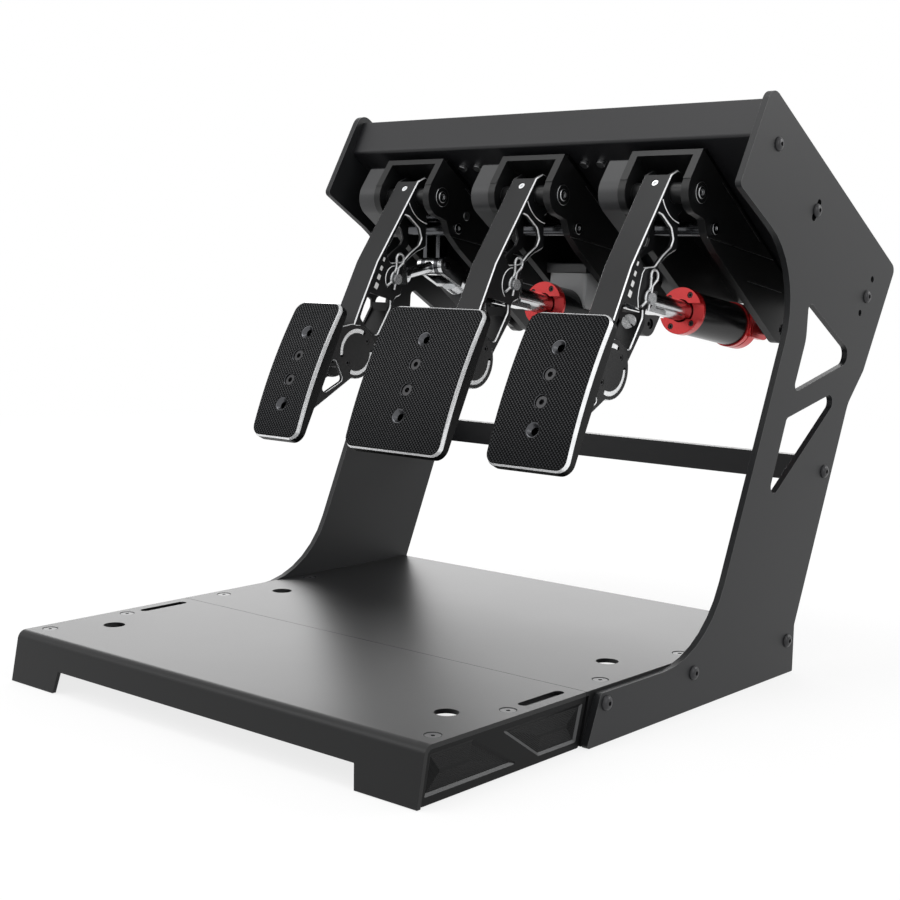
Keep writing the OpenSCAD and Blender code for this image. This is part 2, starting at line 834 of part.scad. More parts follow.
module pad_bracket(i) {
  ax = arm_x(i);
  color("#313236")
    difference() {
      on_pad(ax) {
        for (x = [-arm_half - bracket_t, arm_half])
          slab(x, bracket_t)
            difference() {
              polygon(rounded(bracket_outline));
              polygon(rounded(bracket_window));
            }
        translate([-arm_half - 0.5, pad_edge, 16])
          cube([arm_width + 1, bracket_plate, 82]);
      }
      for (d = disc_bolt_offsets)
        bar(ax - arm_half - bracket_t - 1, ax + arm_half + bracket_t + 1, disc_at + d,
          disc_bolt_d / 2 + screw_fit);
      for (x = [ax - arm_half - bracket_t - 1, ax + arm_half - 0.5])
        disc_slots(x, bracket_t + 1.5);
      on_pad(ax + pad_shift)
        for (k = [-0.5, 0.5])
          translate([0, 0, pad_mid + k * pad_hole_step])
            rotate([-90, 0, 0])
              cylinder(h = 30, r = pad_screw_d / 2 + screw_fit);
    }
}

// Place of a Y Z point in the pad frame
function in_pad(p) = [
  (p.x - pad_foot.x) * cos(pad_tilt) - (p.y - pad_foot.y) * sin(pad_tilt),
  (p.x - pad_foot.x) * sin(pad_tilt) + (p.y - pad_foot.y) * cos(pad_tilt)
];

// Two arc slots round the disc of the bracket
module disc_slots(x, t) {
  for (range = [[-113, -3], [62, 186]])
    slab(x, t)
      polygon(arc_slot(disc_at, disc_slot_r, disc_slot_w / 2, range[0], range[1]));
}

pad_widths = [clutch_pad, brake_pad, throttle_pad];

module pad(i) {
  w = pad_widths[i];
  half = asin(pad_length / 2 / pad_radius);
  low = pad_mid - pad_length / 2;
  face = [
    for (k = [-6:6])
      [pad_radius * (1 - cos(half * k / 6)) - pad_crown, pad_mid + pad_radius * sin(half * k / 6)]
  ];
  color("#2a2b2e")
    difference() {
      on_pad(arm_x(i) + pad_shift)
        intersection() {
          slab(-w / 2, w)
            polygon(concat(face, [[pad_edge, low + pad_length], [pad_edge, low]]));
          translate([0, -pad_crown - 2, 0])
            rotate([-90, 0, 0])
              mirror([0, 1, 0])
                linear_extrude(pad_edge + pad_crown + 4)
                  polygon(rounded([
                    [-w / 2, low, pad_corner_r], [w / 2, low, pad_corner_r],
                    [w / 2, low + pad_length, pad_corner_r], [-w / 2, low + pad_length, pad_corner_r]
                  ]));
        }
      on_pad(arm_x(i) + pad_shift)
        for (k = [-1.5, -0.5, 0.5, 1.5])
          translate([0, 0, pad_mid + k * pad_hole_step])
            rotate([-90, 0, 0])
              pad_hole(abs(k) < 1, pad_radius * (1 - cos(asin(k * pad_hole_step / pad_radius))));
    }
}

// Hole through a pad, with a flat seat for a screw head or a countersink
module pad_hole(seat, face) {
  front = face - pad_crown;
  translate([0, 0, -pad_crown - 2])
    cylinder(h = pad_edge + pad_crown + 4, r = pad_screw_d / 2 + screw_fit);
  if (seat)
    translate([0, 0, front - 2])
      cylinder(h = 2 + pad_screw_head + 1.2, r = pad_screw_head_d / 2 + 0.4);
  if (!seat)
    translate([0, 0, front - 0.4])
      cylinder(h = 3.4, r1 = 5.8, r2 = 2.6);
}

// Socket screws of the pad and the bolts of the bracket
module pad_screws(i) {
  ax = arm_x(i);
  seat = pad_radius * (1 - cos(asin(pad_hole_step / 2 / pad_radius))) - pad_crown + pad_screw_head + 1.2;
  color("#5a5c60") {
    on_pad(ax + pad_shift)
      for (k = [-0.5, 0.5])
        translate([0, 0, pad_mid + k * pad_hole_step])
          rotate([-90, 0, 0])
            difference() {
              union() {
                translate([0, 0, seat - pad_screw_head])
                  cylinder(h = pad_screw_head, d = pad_screw_head_d);
                translate([0, 0, seat - eps])
                  cylinder(h = pad_edge + bracket_plate + 3 - seat, d = pad_screw_d);
                translate([0, 0, pad_edge + bracket_plate])
                  cylinder(h = 3, r = 4.6, $fn = 6);
              }
              translate([0, 0, seat - pad_screw_head - 1])
                cylinder(h = 3.6, r = 2.3, $fn = 6);
            }
    for (d = disc_bolt_offsets)
      difference() {
        bar(ax - arm_half - bracket_t, ax + arm_half + bracket_t - 0.3, disc_at + d, disc_bolt_d / 2);
        translate([ax + arm_half + bracket_t - 2, disc_at.x + d.x, disc_at.y + d.y])
          rotate([0, 90, 0])
            cylinder(h = 2, r = 1.3, $fn = 6);
      }
  }
}

// Clevis pin with its wire clip on the right side
clip_wire = 0.95;
clip_lean = 15;
clip_out = 1.9;

module clevis_pin(i) {
  ax = arm_x(i);
  at = clevis_at[i];
  color("#c9cbcd") {
    difference() {
      union() {
        bar(ax - arm_half - 2.4, ax + arm_half + 4.6, at, pin_d / 2);
        bar(ax - arm_half - 2.8, ax - arm_half - side_gap, at, pin_d / 2 + 2);
      }
      clip_place(ax, at)
        translate([0, 0, -12])
          cylinder(h = 24, r = clip_wire + 0.05);
    }
    clip_place(ax, at)
      wire_clip();
  }
}

// Frame of the clip: X along the pin, Z along the straight leg, which leans back
module clip_place(ax, at) {
  translate([ax + arm_half + clip_out, at.x, at.y])
    rotate([-clip_lean, 0, 0])
      children();
}

// Clip in the Y Z plane: a straight leg through the pin, an eye and a leg bowed round the pin
module wire_clip() {
  eye_r = 4.5;
  eye = [0.3, 17.2];
  bow_r = 6.4;
  neck = [[0, 9.6], [-2.4, 9.2]];
  eye_ends = [for (a = [-25, 210]) eye + eye_r * direction(a)];
  bow_ends = [for (a = [120, 215]) bow_r * direction(a)];
  foot = [-9.6, -8.4];
  wire_rod([0, -9], neck[0]);
  wire_rod(neck[0], eye_ends[0]);
  wire_arc(eye, eye_r, -25, 210);
  wire_rod(eye_ends[1], neck[1]);
  wire_rod(neck[1], bow_ends[0]);
  wire_arc([0, 0], bow_r, 120, 215);
  wire_rod(bow_ends[1], foot);
  for (at = concat(neck, eye_ends, bow_ends))
    translate([0, at.x, at.y])
      sphere(r = clip_wire + 0.2, $fn = 20);
}

module wire_arc(centre, r, from, to) {
  translate([0, centre.x, centre.y])
    rotate([90, 0, 90])
      rotate([0, 0, from])
        rotate_extrude(angle = to - from, $fn = 40)
          translate([r, 0])
            circle(r = clip_wire, $fn = 16);
}

// Straight round bar between two points of the Y Z plane
module wire_rod(a, b) {
  translate([0, a.x, a.y])
    rotate([atan2(b.y - a.y, b.x - a.x) - 90, 0, 0])
      cylinder(h = norm(b - a), r = clip_wire);
}

// Cylinders of the brake and the throttle

// Fork with its sliding shank and piston
module plunger(i) {
  lift = pin_lift[i];
  fork_w = fork_half * 2;
  color("#b4b6b8")
    on_line(i)
      difference() {
        union() {
          translate([-fork_half, lift, 0])
            rotate([0, 90, 0])
              cylinder(h = fork_w, r = fork_eye_r);
          translate([-fork_half, -fork_eye_r, 0])
            cube([fork_w, lift + 2 * fork_eye_r, fork_block]);
          translate([-fork_half, -fork_eye_r, 0])
            cube([fork_w, fork_lip[0], fork_lip[1]]);
          translate([0, 0, fork_block - 2])
            cylinder(h = piston_at - fork_block + 3, d = shank_d);
          translate([0, 0, piston_at])
            cylinder(h = piston_t, d = bore_d - 2 * piston_gap);
        }
        translate([-fork_half - 1, lift, 0])
          rotate([0, 90, 0])
            cylinder(h = fork_w + 2, r = pin_d / 2 + running_fit);
        translate([-fork_half + fork_cheek, -fork_eye_r - 1, -fork_eye_r - 1])
          cube([fork_w - 2 * fork_cheek, lift + 2 * fork_eye_r + 2, fork_slot + fork_eye_r + 1]);
      }
}

module cap(i) {
  color("#c2221f")
    on_line(i)
      translate([0, 0, cap_start[i]])
        difference() {
          cylinder(h = cap_length, r = cap_d / 2);
          translate([0, 0, -1])
            cylinder(h = cap_length + 2, r = cap_open_r);
          translate([-cap_d, -cap_channel[0] / 2, -1])
            cube([2 * cap_d, cap_channel[0], cap_channel[1] + 1]);
          for (a = cap_screw_angles)
            translate([cap_screw_r * cos(a), cap_screw_r * sin(a), -1])
              cylinder(h = 4.2, r = 2.3);
        }
}

module cylinder_body(i) {
  reach = line_length(clevis_at[i], rear_pivot, pin_lift[i]);
  start = cap_start[i] + cap_length;
  color("#4b4d51")
    on_line(i)
      translate([0, 0, start])
        difference() {
          cylinder(h = reach - collar_back - start, r = cylinder_d / 2);
          translate([0, 0, -1])
            cylinder(h = reach - collar_back - start - 3, r = bore_d / 2);
        }
}

// Rear collar with the two lugs that turn on the rear pin
module collar(i) {
  reach = line_length(clevis_at[i], rear_pivot, pin_lift[i]);
  front = reach - collar_back;
  color("#b81f1d")
    on_line(i)
      difference() {
        union() {
          translate([0, 0, front])
            cylinder(h = collar_length, r = cap_d / 2);
          for (x = [-lug_inner - lug_t, lug_inner]) {
            translate([x, -lug_r, front + 3])
              cube([lug_t, 2 * lug_r, reach - front - 3]);
            translate([x, 0, reach])
              rotate([0, 90, 0])
                cylinder(h = lug_t, r = lug_r);
          }
        }
        translate([-lug_inner - lug_t - 1, 0, reach])
          rotate([0, 90, 0])
            cylinder(h = 2 * (lug_inner + lug_t + 1), r = rear_pin_d / 2 + running_fit);
        translate([0, 0, front + 5])
          ring(1.2, cap_d / 2 + 4, cap_d / 2 - 0.8);
      }
}

// Rubber rings and steel washers between the brake piston and the end of the bore
module damper_stack_brake() {
  reach = line_length(clevis_at[BRAKE], rear_pivot, pin_lift[BRAKE]);
  start = piston_at + piston_t + 0.2;
  room = reach - collar_back - 4.2 - start;
  pitch = room / 4;
  color("#a8402c")
    on_line(BRAKE)
      for (k = [0:3])
        translate([0, 0, start + k * pitch])
          union() {
            ring(pitch, bore_d / 2 - 2.2, 5);
            translate([0, 0, 1.2])
              ring(pitch - 2.4, bore_d / 2 - 1.2, 5);
          }
}

// Coil of the throttle, drawn as the sleeve that it fills
module return_spring_throttle() {
  reach = line_length(clevis_at[THROTTLE], rear_pivot, pin_lift[THROTTLE]);
  start = piston_at + piston_t + 0.2;
  color("#8a8c8f")
    on_line(THROTTLE)
      translate([0, 0, start])
        ring(reach - collar_back - 4.2 - start, bore_d / 2 - 1.5, bore_d / 2 - 4);
}

// Fluid reservoir on top of the brake cylinder, its lower edge beside the middle of the cylinder
module reservoir_brake() {
  x0 = arm_x(BRAKE) - reservoir_w / 2;
  front = reservoir_y[0];
  back = reservoir_y[1];
  lip = reservoir_lid_lip;
  lid_top = reservoir_top + reservoir_lid_t;
  low = [for (y = reservoir_y) rear_pivot.y + (rear_pivot.x - y) * 0.16 + 1.5];
  color("#4a4b4d")
    difference() {
      union() {
        slab(x0, reservoir_w)
          polygon(rounded([[front, low[0], 3], [back, low[1], 3], [back, reservoir_top, 0], [front, reservoir_top, 0]]));
        slab(x0 - lip, reservoir_w + 2 * lip)
          polygon(rounded([
            [front - lip, reservoir_top - eps, 1], [back + lip, reservoir_top - eps, 1],
            [back + lip, lid_top, 2], [front - lip, lid_top, 2]
          ]));
      }
      on_line(BRAKE)
        cylinder(h = 160, r = cylinder_d / 2 + 0.05);
    }
}

// Linkage of the clutch: rod to a hanging lever, and on to a second cylinder

// Frame with Z from a to b, Y square to it and upwards
module on_rod(i, a, b) {
  translate([arm_x(i), a.x, a.y])
    rotate([-90 - fall(a, b), 0, 0])
      mirror([0, 1, 0])
        children();
}

module pin_bore(half, z, r) {
  translate([-half, 0, z])
    rotate([0, 90, 0])
      cylinder(h = 2 * half, r = r);
}

module pushrod_clutch() {
  a = clevis_at[CLUTCH];
  reach = norm(knuckle_at - a);
  color("#a9abad")
    on_rod(CLUTCH, a, knuckle_at)
      difference() {
        union() {
          pin_bore(fork_half, 0, fork_eye_r);
          translate([-fork_half, -fork_eye_r, 0])
            cube([2 * fork_half, 2 * fork_eye_r, rod_block]);
          translate([0, 0, rod_block - eps])
            cylinder(h = 5, r = 8.2);
          translate([0, 0, rod_block])
            cylinder(h = reach - rod_block, r = 4.7);
          pin_bore(knuckle_half, reach, 8.6);
        }
        pin_bore(fork_half + 1, 0, pin_d / 2 + running_fit);
        pin_bore(knuckle_half + 1, reach, knuckle_pin_d / 2 + knuckle_play);
        translate([-fork_half + fork_cheek, -fork_eye_r - 1, -fork_eye_r - 1])
          cube([2 * (fork_half - fork_cheek), 2 * fork_eye_r + 2, rod_slot + fork_eye_r + 1]);
      }
}

// Hanging lever with the cross pin that both rods turn on
module lever_clutch() {
  drop = norm(lever_at - knuckle_at);
  inner = knuckle_half + side_gap;
  color("#6d6f72")
    translate([arm_x(CLUTCH), lever_at.x, lever_at.y])
      difference() {
        union() {
          for (x = [-inner - lever_t, inner]) {
            slab(x, lever_t)
              translate([-5.5, -drop])
                square([11, drop]);
            bar(x, x + lever_t, [0, 0], 7.5);
            bar(x, x + lever_t, [0, -drop], 8.6);
          }
          bar(-inner, inner, [0, 0], 7);
          bar(-inner - lever_t - 5.2, inner + lever_t + 5.2, [0, -drop], knuckle_pin_d / 2);
        }
        bar(-20, 20, [0, 0], lever_shaft_d / 2 + running_fit);
      }
}

module lever_shaft_clutch() {
  x0 = module_x(CLUTCH) - chassis_width / 2;
  color("#8d9093")
    bar(x0 + 1, x0 + chassis_width + 0.8, lever_at, lever_shaft_d / 2);
}

module plunger_clutch() {
  inner = knuckle_half + lever_t + 2 * side_gap;
  outer = inner + 4.2;
  color("#b4b6b8")
    on_rod(CLUTCH, knuckle_at, rear_pivot)
      difference() {
        union() {
          pin_bore(outer, 0, 8.4);
          translate([-outer, -8.4, 0])
            cube([2 * outer, 16.8, 25]);
          translate([0, 0, 25 - eps])
            cylinder(h = 10, r = 11.5);
          translate([0, 0, 30])
            cylinder(h = clutch_piston_at - 29, r = shank_d / 2);
          translate([0, 0, clutch_piston_at])
            cylinder(h = piston_t, r = bore_d / 2 - piston_gap);
        }
        pin_bore(outer + 1, 0, knuckle_pin_d / 2 + running_fit);
        translate([-inner, -10, -10])
          cube([2 * inner, 20, 29]);
      }
}

module cylinder_clutch() {
  reach = norm(rear_pivot - knuckle_at);
  back = reach - 14;
  color("#3d3f42")
    on_rod(CLUTCH, knuckle_at, rear_pivot)
      difference() {
        union() {
          translate([0, 0, clutch_cylinder_at])
            cylinder(h = back - clutch_cylinder_at, r = cylinder_d / 2);
          for (x = [-lug_inner - lug_t, lug_inner]) {
            translate([x, -11, back - 6])
              cube([lug_t, 22, reach - back + 6]);
            translate([x, 0, reach])
              rotate([0, 90, 0])
                cylinder(h = lug_t, r = 12);
          }
        }
        pin_bore(30, reach, rear_pin_d / 2 + running_fit);
        translate([0, 0, clutch_cylinder_at - 1])
          cylinder(h = 10, r = shank_d / 2 + 1.6);
        translate([0, 0, clutch_cylinder_at + 5])
          cylinder(h = back - clutch_cylinder_at - 9, r = bore_d / 2);
        translate([0, 0, clutch_cylinder_at + 8])
          ring(1.5, cylinder_d / 2 + 1, cylinder_d / 2 - 0.8);
      }
}

// Coil of the clutch, drawn as the sleeve that it fills
module return_spring_clutch() {
  reach = norm(rear_pivot - knuckle_at);
  start = clutch_piston_at + piston_t + 0.2;
  color("#8a8c8f")
    on_rod(CLUTCH, knuckle_at, rear_pivot)
      translate([0, 0, start])
        ring(reach - 18.2 - start, bore_d / 2 - 1.5, bore_d / 2 - 4);
}

base_front_plate();
base_rear_plate();
base_cap(-1);  // base_cap_left
base_cap(1);  // base_cap_right
base_rails();
mirror([1, 0, 0]) side_panel();  // side_panel_left
side_panel();  // side_panel_right
rear_crossbar();
carrier_beam();
frame_screws();
carrier_bolts();
spacer_rails();
chassis(CLUTCH);  // chassis_clutch
chassis(BRAKE);  // chassis_brake
chassis(THROTTLE);  // chassis_throttle
sensor_housing(CLUTCH);  // sensor_housing_clutch
sensor_housing(BRAKE);  // sensor_housing_brake
sensor_housing(THROTTLE);  // sensor_housing_throttle
pivot_shaft(CLUTCH);  // pivot_shaft_clutch
pivot_shaft(BRAKE);  // pivot_shaft_brake
pivot_shaft(THROTTLE);  // pivot_shaft_throttle
tie_bar(CLUTCH);  // tie_bar_clutch
tie_bar(BRAKE);  // tie_bar_brake
tie_bar(THROTTLE);  // tie_bar_throttle
rear_pin(CLUTCH);  // rear_pin_clutch
rear_pin(BRAKE);  // rear_pin_brake
rear_pin(THROTTLE);  // rear_pin_throttle
arm(CLUTCH);  // arm_clutch
arm(BRAKE);  // arm_brake
arm(THROTTLE);  // arm_throttle
pad_bracket(CLUTCH);  // pad_bracket_clutch
pad_bracket(BRAKE);  // pad_bracket_brake
pad_bracket(THROTTLE);  // pad_bracket_throttle
pad(CLUTCH);  // pad_clutch
pad(BRAKE);  // pad_brake
pad(THROTTLE);  // pad_throttle
pad_screws(CLUTCH);  // pad_screws_clutch
pad_screws(BRAKE);  // pad_screws_brake
pad_screws(THROTTLE);  // pad_screws_throttle
clevis_pin(CLUTCH);  // clevis_pin_clutch
clevis_pin(BRAKE);  // clevis_pin_brake
clevis_pin(THROTTLE);  // clevis_pin_throttle
plunger(BRAKE);  // plunger_brake
plunger(THROTTLE);  // plunger_throttle
cap(BRAKE);  // cap_brake
cap(THROTTLE);  // cap_throttle
cylinder_body(BRAKE);  // cylinder_brake
cylinder_body(THROTTLE);  // cylinder_throttle
collar(BRAKE);  // collar_brake
collar(THROTTLE);  // collar_throttle
reservoir_brake();
damper_stack_brake();
return_spring_throttle();
pushrod_clutch();
lever_clutch();
plunger_clutch();
cylinder_clutch();
return_spring_clutch();
lever_shaft_clutch();
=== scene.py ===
"""Three pedal set for a driving simulator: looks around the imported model.

Lengths are metres. X points to the right, the user sits on the -Y side and Z points up.
"""

import math

import bmesh
import bpy
from mathutils import Matrix, Vector


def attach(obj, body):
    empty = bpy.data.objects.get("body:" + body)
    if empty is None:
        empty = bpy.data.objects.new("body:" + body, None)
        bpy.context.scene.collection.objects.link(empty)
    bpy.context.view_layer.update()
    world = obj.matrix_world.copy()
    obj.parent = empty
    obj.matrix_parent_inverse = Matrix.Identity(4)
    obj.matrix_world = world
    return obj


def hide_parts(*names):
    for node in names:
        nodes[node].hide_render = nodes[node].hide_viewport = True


MM = 0.001
SHARP_ANGLE = math.radians(35)
SMOOTH_ANGLE = math.radians(32)
FLAT_ANGLE = math.radians(0.3)

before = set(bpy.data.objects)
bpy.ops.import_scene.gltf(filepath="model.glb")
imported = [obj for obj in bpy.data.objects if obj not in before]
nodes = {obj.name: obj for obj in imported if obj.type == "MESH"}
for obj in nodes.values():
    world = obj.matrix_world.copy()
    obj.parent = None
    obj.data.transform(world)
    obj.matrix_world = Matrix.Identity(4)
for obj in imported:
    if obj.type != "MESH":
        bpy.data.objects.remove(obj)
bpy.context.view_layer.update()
scene = bpy.context.scene

# Places of the model, in mm: points are (Y, Z), and lists of three go clutch, brake, throttle

PITCH = 125.25
ARM_OFFSET = -3.35
ARM_X = [(i - 1) * PITCH + ARM_OFFSET for i in range(3)]
MODULE_X = [(i - 1) * PITCH for i in range(3)]
MODULES = ["clutch", "brake", "throttle"]
BODIES = ["clutch_pedal", "brake_pedal", "throttle_pedal"]
ARM_HALF = 11.95
BRACKET_T = 3.0
PIVOT = (63.1, 364.5)
DISC = (-16.4, 237.0)
CLEVIS = [(31.0, 295.9), (31.3, 294.2), (32.7, 286.8)]
REAR_PIVOT = (193.5, 261.5)
PIN_LIFT = [0.0, 6.9, 0.0]
CAP_START = [0.0, 56.1, 63.7]
PAD_WIDTHS = [51.5, 96.5, 71.5]
PAD_SHIFT = -2.0
PAD_FOOT = (-93.7, 171.4)
PAD_TILT = math.radians(26.36)
PAD_LENGTH = 118.0
PAD_CROWN = 4.2
PAD_MID = 59.0
PAD_RADIUS = ((PAD_LENGTH / 2) ** 2 + PAD_CROWN**2) / (2 * PAD_CROWN)
PAD_HOLE_PITCH = 21.0
PAD_HOLES = [PAD_MID + k * PAD_HOLE_PITCH for k in (-1.5, -0.5, 0.5, 1.5)]

# Camera

AZIMUTH, ELEVATION, ROLL = (math.radians(a) for a in (40.4935, 6.9005, 0.9834))
CAMERA_AT = (0.767449, -0.929463, 0.311238)
LENS = 62.23
SENSOR = 36


def make_camera():
    """Camera turned by the three angles, its right side level before the roll."""
    back = Vector((
        math.sin(AZIMUTH) * math.cos(ELEVATION),
        -math.cos(AZIMUTH) * math.cos(ELEVATION),
        math.sin(ELEVATION),
    ))
    right = Vector((0, 0, 1)).cross(back).normalized()
    up = back.cross(right)
    across = math.cos(ROLL) * right + math.sin(ROLL) * up
    upright = -math.sin(ROLL) * right + math.cos(ROLL) * up
    data = bpy.data.cameras.new("camera")
    data.lens = LENS
    data.sensor_width = SENSOR
    camera = bpy.data.objects.new("camera", data)
    turn = Matrix((across, upright, back)).transposed().to_4x4()
    camera.matrix_world = Matrix.Translation(CAMERA_AT) @ turn
    scene.collection.objects.link(camera)
    scene.camera = camera


make_camera()

# Materials


class Maker:
    """Adds nodes to a material and links them."""

    def __init__(self, name):
        self.material = bpy.data.materials.new(name)
        self.material.use_nodes = True
        self.tree = self.material.node_tree
        self.shader = self.tree.nodes["Principled BSDF"]
        self.place = self.add("ShaderNodeTexCoord").outputs["Object"]

    def add(self, kind, **settings):
        made = self.tree.nodes.new(kind)
        for key, value in settings.items():
            setattr(made, key, value)
        return made

    def link(self, source, target):
        self.tree.links.new(source, target)

    def put(self, socket, value):
        """Constant on a socket of the shader."""
        self.shader.inputs[socket].default_value = value

    def noise(self, scale, detail=3.0, stretch=None):
        """Noise in object space; stretch scales its three axes first."""
        made = self.add("ShaderNodeTexNoise")
        made.inputs["Scale"].default_value = scale
        made.inputs["Detail"].default_value = detail
        place = self.place
        if stretch:
            mapping = self.add("ShaderNodeMapping")
            mapping.inputs["Scale"].default_value = stretch
            self.link(place, mapping.inputs["Vector"])
            place = mapping.outputs["Vector"]
        self.link(place, made.inputs["Vector"])
        return made.outputs["Fac"]

    def ramp(self, source, low, high, start=0.35, end=0.65):
        """Colour between two shades along a value."""
        made = self.add("ShaderNodeValToRGB")
        made.color_ramp.elements[0].position = start
        made.color_ramp.elements[0].color = (*low, 1)
        made.color_ramp.elements[1].position = end
        made.color_ramp.elements[1].color = (*high, 1)
        self.link(source, made.inputs["Fac"])
        return made.outputs["Color"]

    def span(self, source, low, high):
        """The middle of a noise, stretched to run from low to high."""
        made = self.add("ShaderNodeMapRange")
        made.inputs["From Min"].default_value = 0.3
        made.inputs["From Max"].default_value = 0.7
        made.inputs["To Min"].default_value = low
        made.inputs["To Max"].default_value = high
        self.link(source, made.inputs["Value"])
        return made.outputs["Result"]

    def bump(self, source, strength, distance):
        """Fine relief from a value; distance is in metres."""
        made = self.add("ShaderNodeBump")
        made.inputs["Strength"].default_value = strength
        made.inputs["Distance"].default_value = distance
        self.link(source, made.inputs["Height"])
        return made.outputs["Normal"]


def shades(colour, spread):
    """A darker and a lighter shade of a colour."""
    return [tuple(max(0.0, c * (1 + s)) for c in colour) for s in (-spread, spread)]


RELIEF = 0.0001


def coated(name, colour, rough, grain=1300.0, grain_depth=0.12, metallic=0.0, specular=0.5,
           coat=0.0, coat_rough=0.3, spread=0.12, cloud=1.0):
    """Powder coat, anodising or moulded plastic: fine grain over slow changes of tone and gloss."""
    m = Maker(name)
    slow = m.noise(14.0, 2.0)
    fine = m.noise(grain, 4.0)
    m.link(m.ramp(slow, *shades(colour, spread)), m.shader.inputs["Base Color"])
    m.link(m.span(slow, rough - 0.03 * cloud, rough + 0.04 * cloud), m.shader.inputs["Roughness"])
    m.link(m.bump(fine, grain_depth, RELIEF), m.shader.inputs["Normal"])
    m.put("Metallic", metallic)
    m.put("Specular IOR Level", specular)
    m.put("Coat Weight", coat)
    m.put("Coat Roughness", coat_rough)
    return m.material


def turned_metal(name, colour, rough, stretch=(60.0, 1800.0, 1800.0), depth=0.06, spread=0.06,
                 metallic=1.0):
    """Bare or plated metal with fine marks along the way it was machined."""
    m = Maker(name)
    marks = m.noise(1.0, 5.0, stretch)
    slow = m.noise(90.0, 3.0)
    m.link(m.ramp(slow, *shades(colour, spread)), m.shader.inputs["Base Color"])
    m.link(m.span(marks, rough - 0.05, rough + 0.08), m.shader.inputs["Roughness"])
    m.link(m.bump(marks, depth, RELIEF), m.shader.inputs["Normal"])
    m.put("Metallic", metallic)
    return m.material


PAINT = coated(
    "deck_paint", (0.006, 0.0062, 0.0066), 0.36,
    grain=900.0, grain_depth=0.2, specular=0.26, spread=0.03, cloud=0.1,
)
PANEL = coated(
    "panel_paint", (0.0095, 0.01, 0.011), 0.42,
    grain=1100.0, specular=0.28, spread=0.05, cloud=0.3,
)
# Lighter grey of the rounded panel edges: a painted edge highlight
PANEL_EDGE_HIGHLIGHT = coated("panel_painted_edge_highlight", (0.05, 0.052, 0.054), 0.34, grain=1500.0, specular=0.8)
BEAM = coated("beam_paint", (0.008, 0.0082, 0.0095), 0.4, grain=1000.0, specular=0.36)
CHASSIS = coated(
    "chassis_anodised", (0.0055, 0.0057, 0.006), 0.36,
    grain=1500.0, grain_depth=0.06, specular=0.28,
)
# Lighter grey for rounded edges: a painted edge highlight on the chassis, and a painted dim sheen on the
# bracket outlines at the upper rear of their discs
EDGE_PAINTED_SHEEN = coated(
    "painted_edge_sheen", (0.045, 0.046, 0.048), 0.3,
    grain=1500.0, grain_depth=0.05, specular=0.8,
)
ARM = coated(
    "arm_anodised", (0.0085, 0.0087, 0.0094), 0.38,
    grain=1700.0, grain_depth=0.06, specular=0.22,
)
BRACKET = coated(
    "bracket_anodised", (0.0085, 0.0087, 0.0092), 0.38,
    grain=1700.0, grain_depth=0.06, specular=0.3,
)
PAD_BLACK = coated(
    "pad_anodised", (0.0035, 0.0037, 0.004), 0.42,
    grain=2200.0, grain_depth=0.05, specular=0.15,
)
KNURL = coated(
    "pad_knurl", (0.0026, 0.0028, 0.0033), 0.28,
    grain=2600.0, grain_depth=0.05, specular=0.06,
)
KNURL_PAINTED_HIGHLIGHT = coated(
    "pad_knurl_painted_highlight", (0.014, 0.015, 0.0175), 0.3,
    grain=2600.0, grain_depth=0.05, specular=0.16,
)
HOUSING = coated("housing_charcoal", (0.024, 0.0245, 0.026), 0.42, grain=900.0, specular=0.45)
SPACER = coated(
    "spacer_plastic", (0.0018, 0.0019, 0.002), 0.55,
    grain=500.0, grain_depth=0.2, specular=0.06,
)
CAP_PLASTIC = coated(
    "cap_plastic", (0.003, 0.0032, 0.0034), 0.44,
    grain=700.0, grain_depth=0.2, specular=0.12,
)
CAP_PAINTED_HIGHLIGHT = coated("cap_painted_highlight", (0.03, 0.031, 0.0325), 0.4, grain=700.0, grain_depth=0.1, specular=0.45)
SCREW_BLACK = coated("screw_black", (0.022, 0.022, 0.024), 0.34, grain=1400.0, metallic=0.4)
CHROME = turned_metal("polished_chamfer", (0.9, 0.91, 0.92), 0.24, metallic=0.35)
STEEL = turned_metal("steel_satin", (0.5, 0.51, 0.52), 0.3)
DARK_STEEL = turned_metal("steel_blackened", (0.09, 0.092, 0.098), 0.24, depth=0.04)
PIN_STEEL = turned_metal("pin_steel", (0.6, 0.61, 0.62), 0.24, metallic=0.65)
NICKEL = turned_metal("fork_nickel", (0.62, 0.63, 0.64), 0.18, depth=0.04)
SPRING = turned_metal("spring_steel", (0.3, 0.3, 0.31), 0.3)
RED = coated(
    "red_anodised", (0.56, 0.016, 0.018), 0.26,
    grain=1800.0, grain_depth=0.05, metallic=0.55, specular=0.6, coat=0.3, coat_rough=0.16, spread=0.06,
)
CYLINDER = coated(
    "cylinder_grey", (0.0045, 0.0047, 0.005), 0.22,
    grain=1800.0, grain_depth=0.05, specular=0.2,
)
DARK_CYLINDER = coated("clutch_cylinder_black", (0.009, 0.0092, 0.01), 0.32, specular=0.35)
TANK = coated("reservoir_plastic", (0.3, 0.305, 0.31), 0.3, grain=500.0, grain_depth=0.05, spread=0.06)
TANK_LID = coated("reservoir_lid", (0.02, 0.0205, 0.022), 0.36, grain=900.0)
RUBBER = coated("damper_rubber", (0.2, 0.03, 0.016), 0.6, grain=500.0, grain_depth=0.2)
WHITE = coated("index_white", (0.78, 0.78, 0.77), 0.5, grain=1600.0, grain_depth=0.08, spread=0.04)

# Finish of the CAD parts


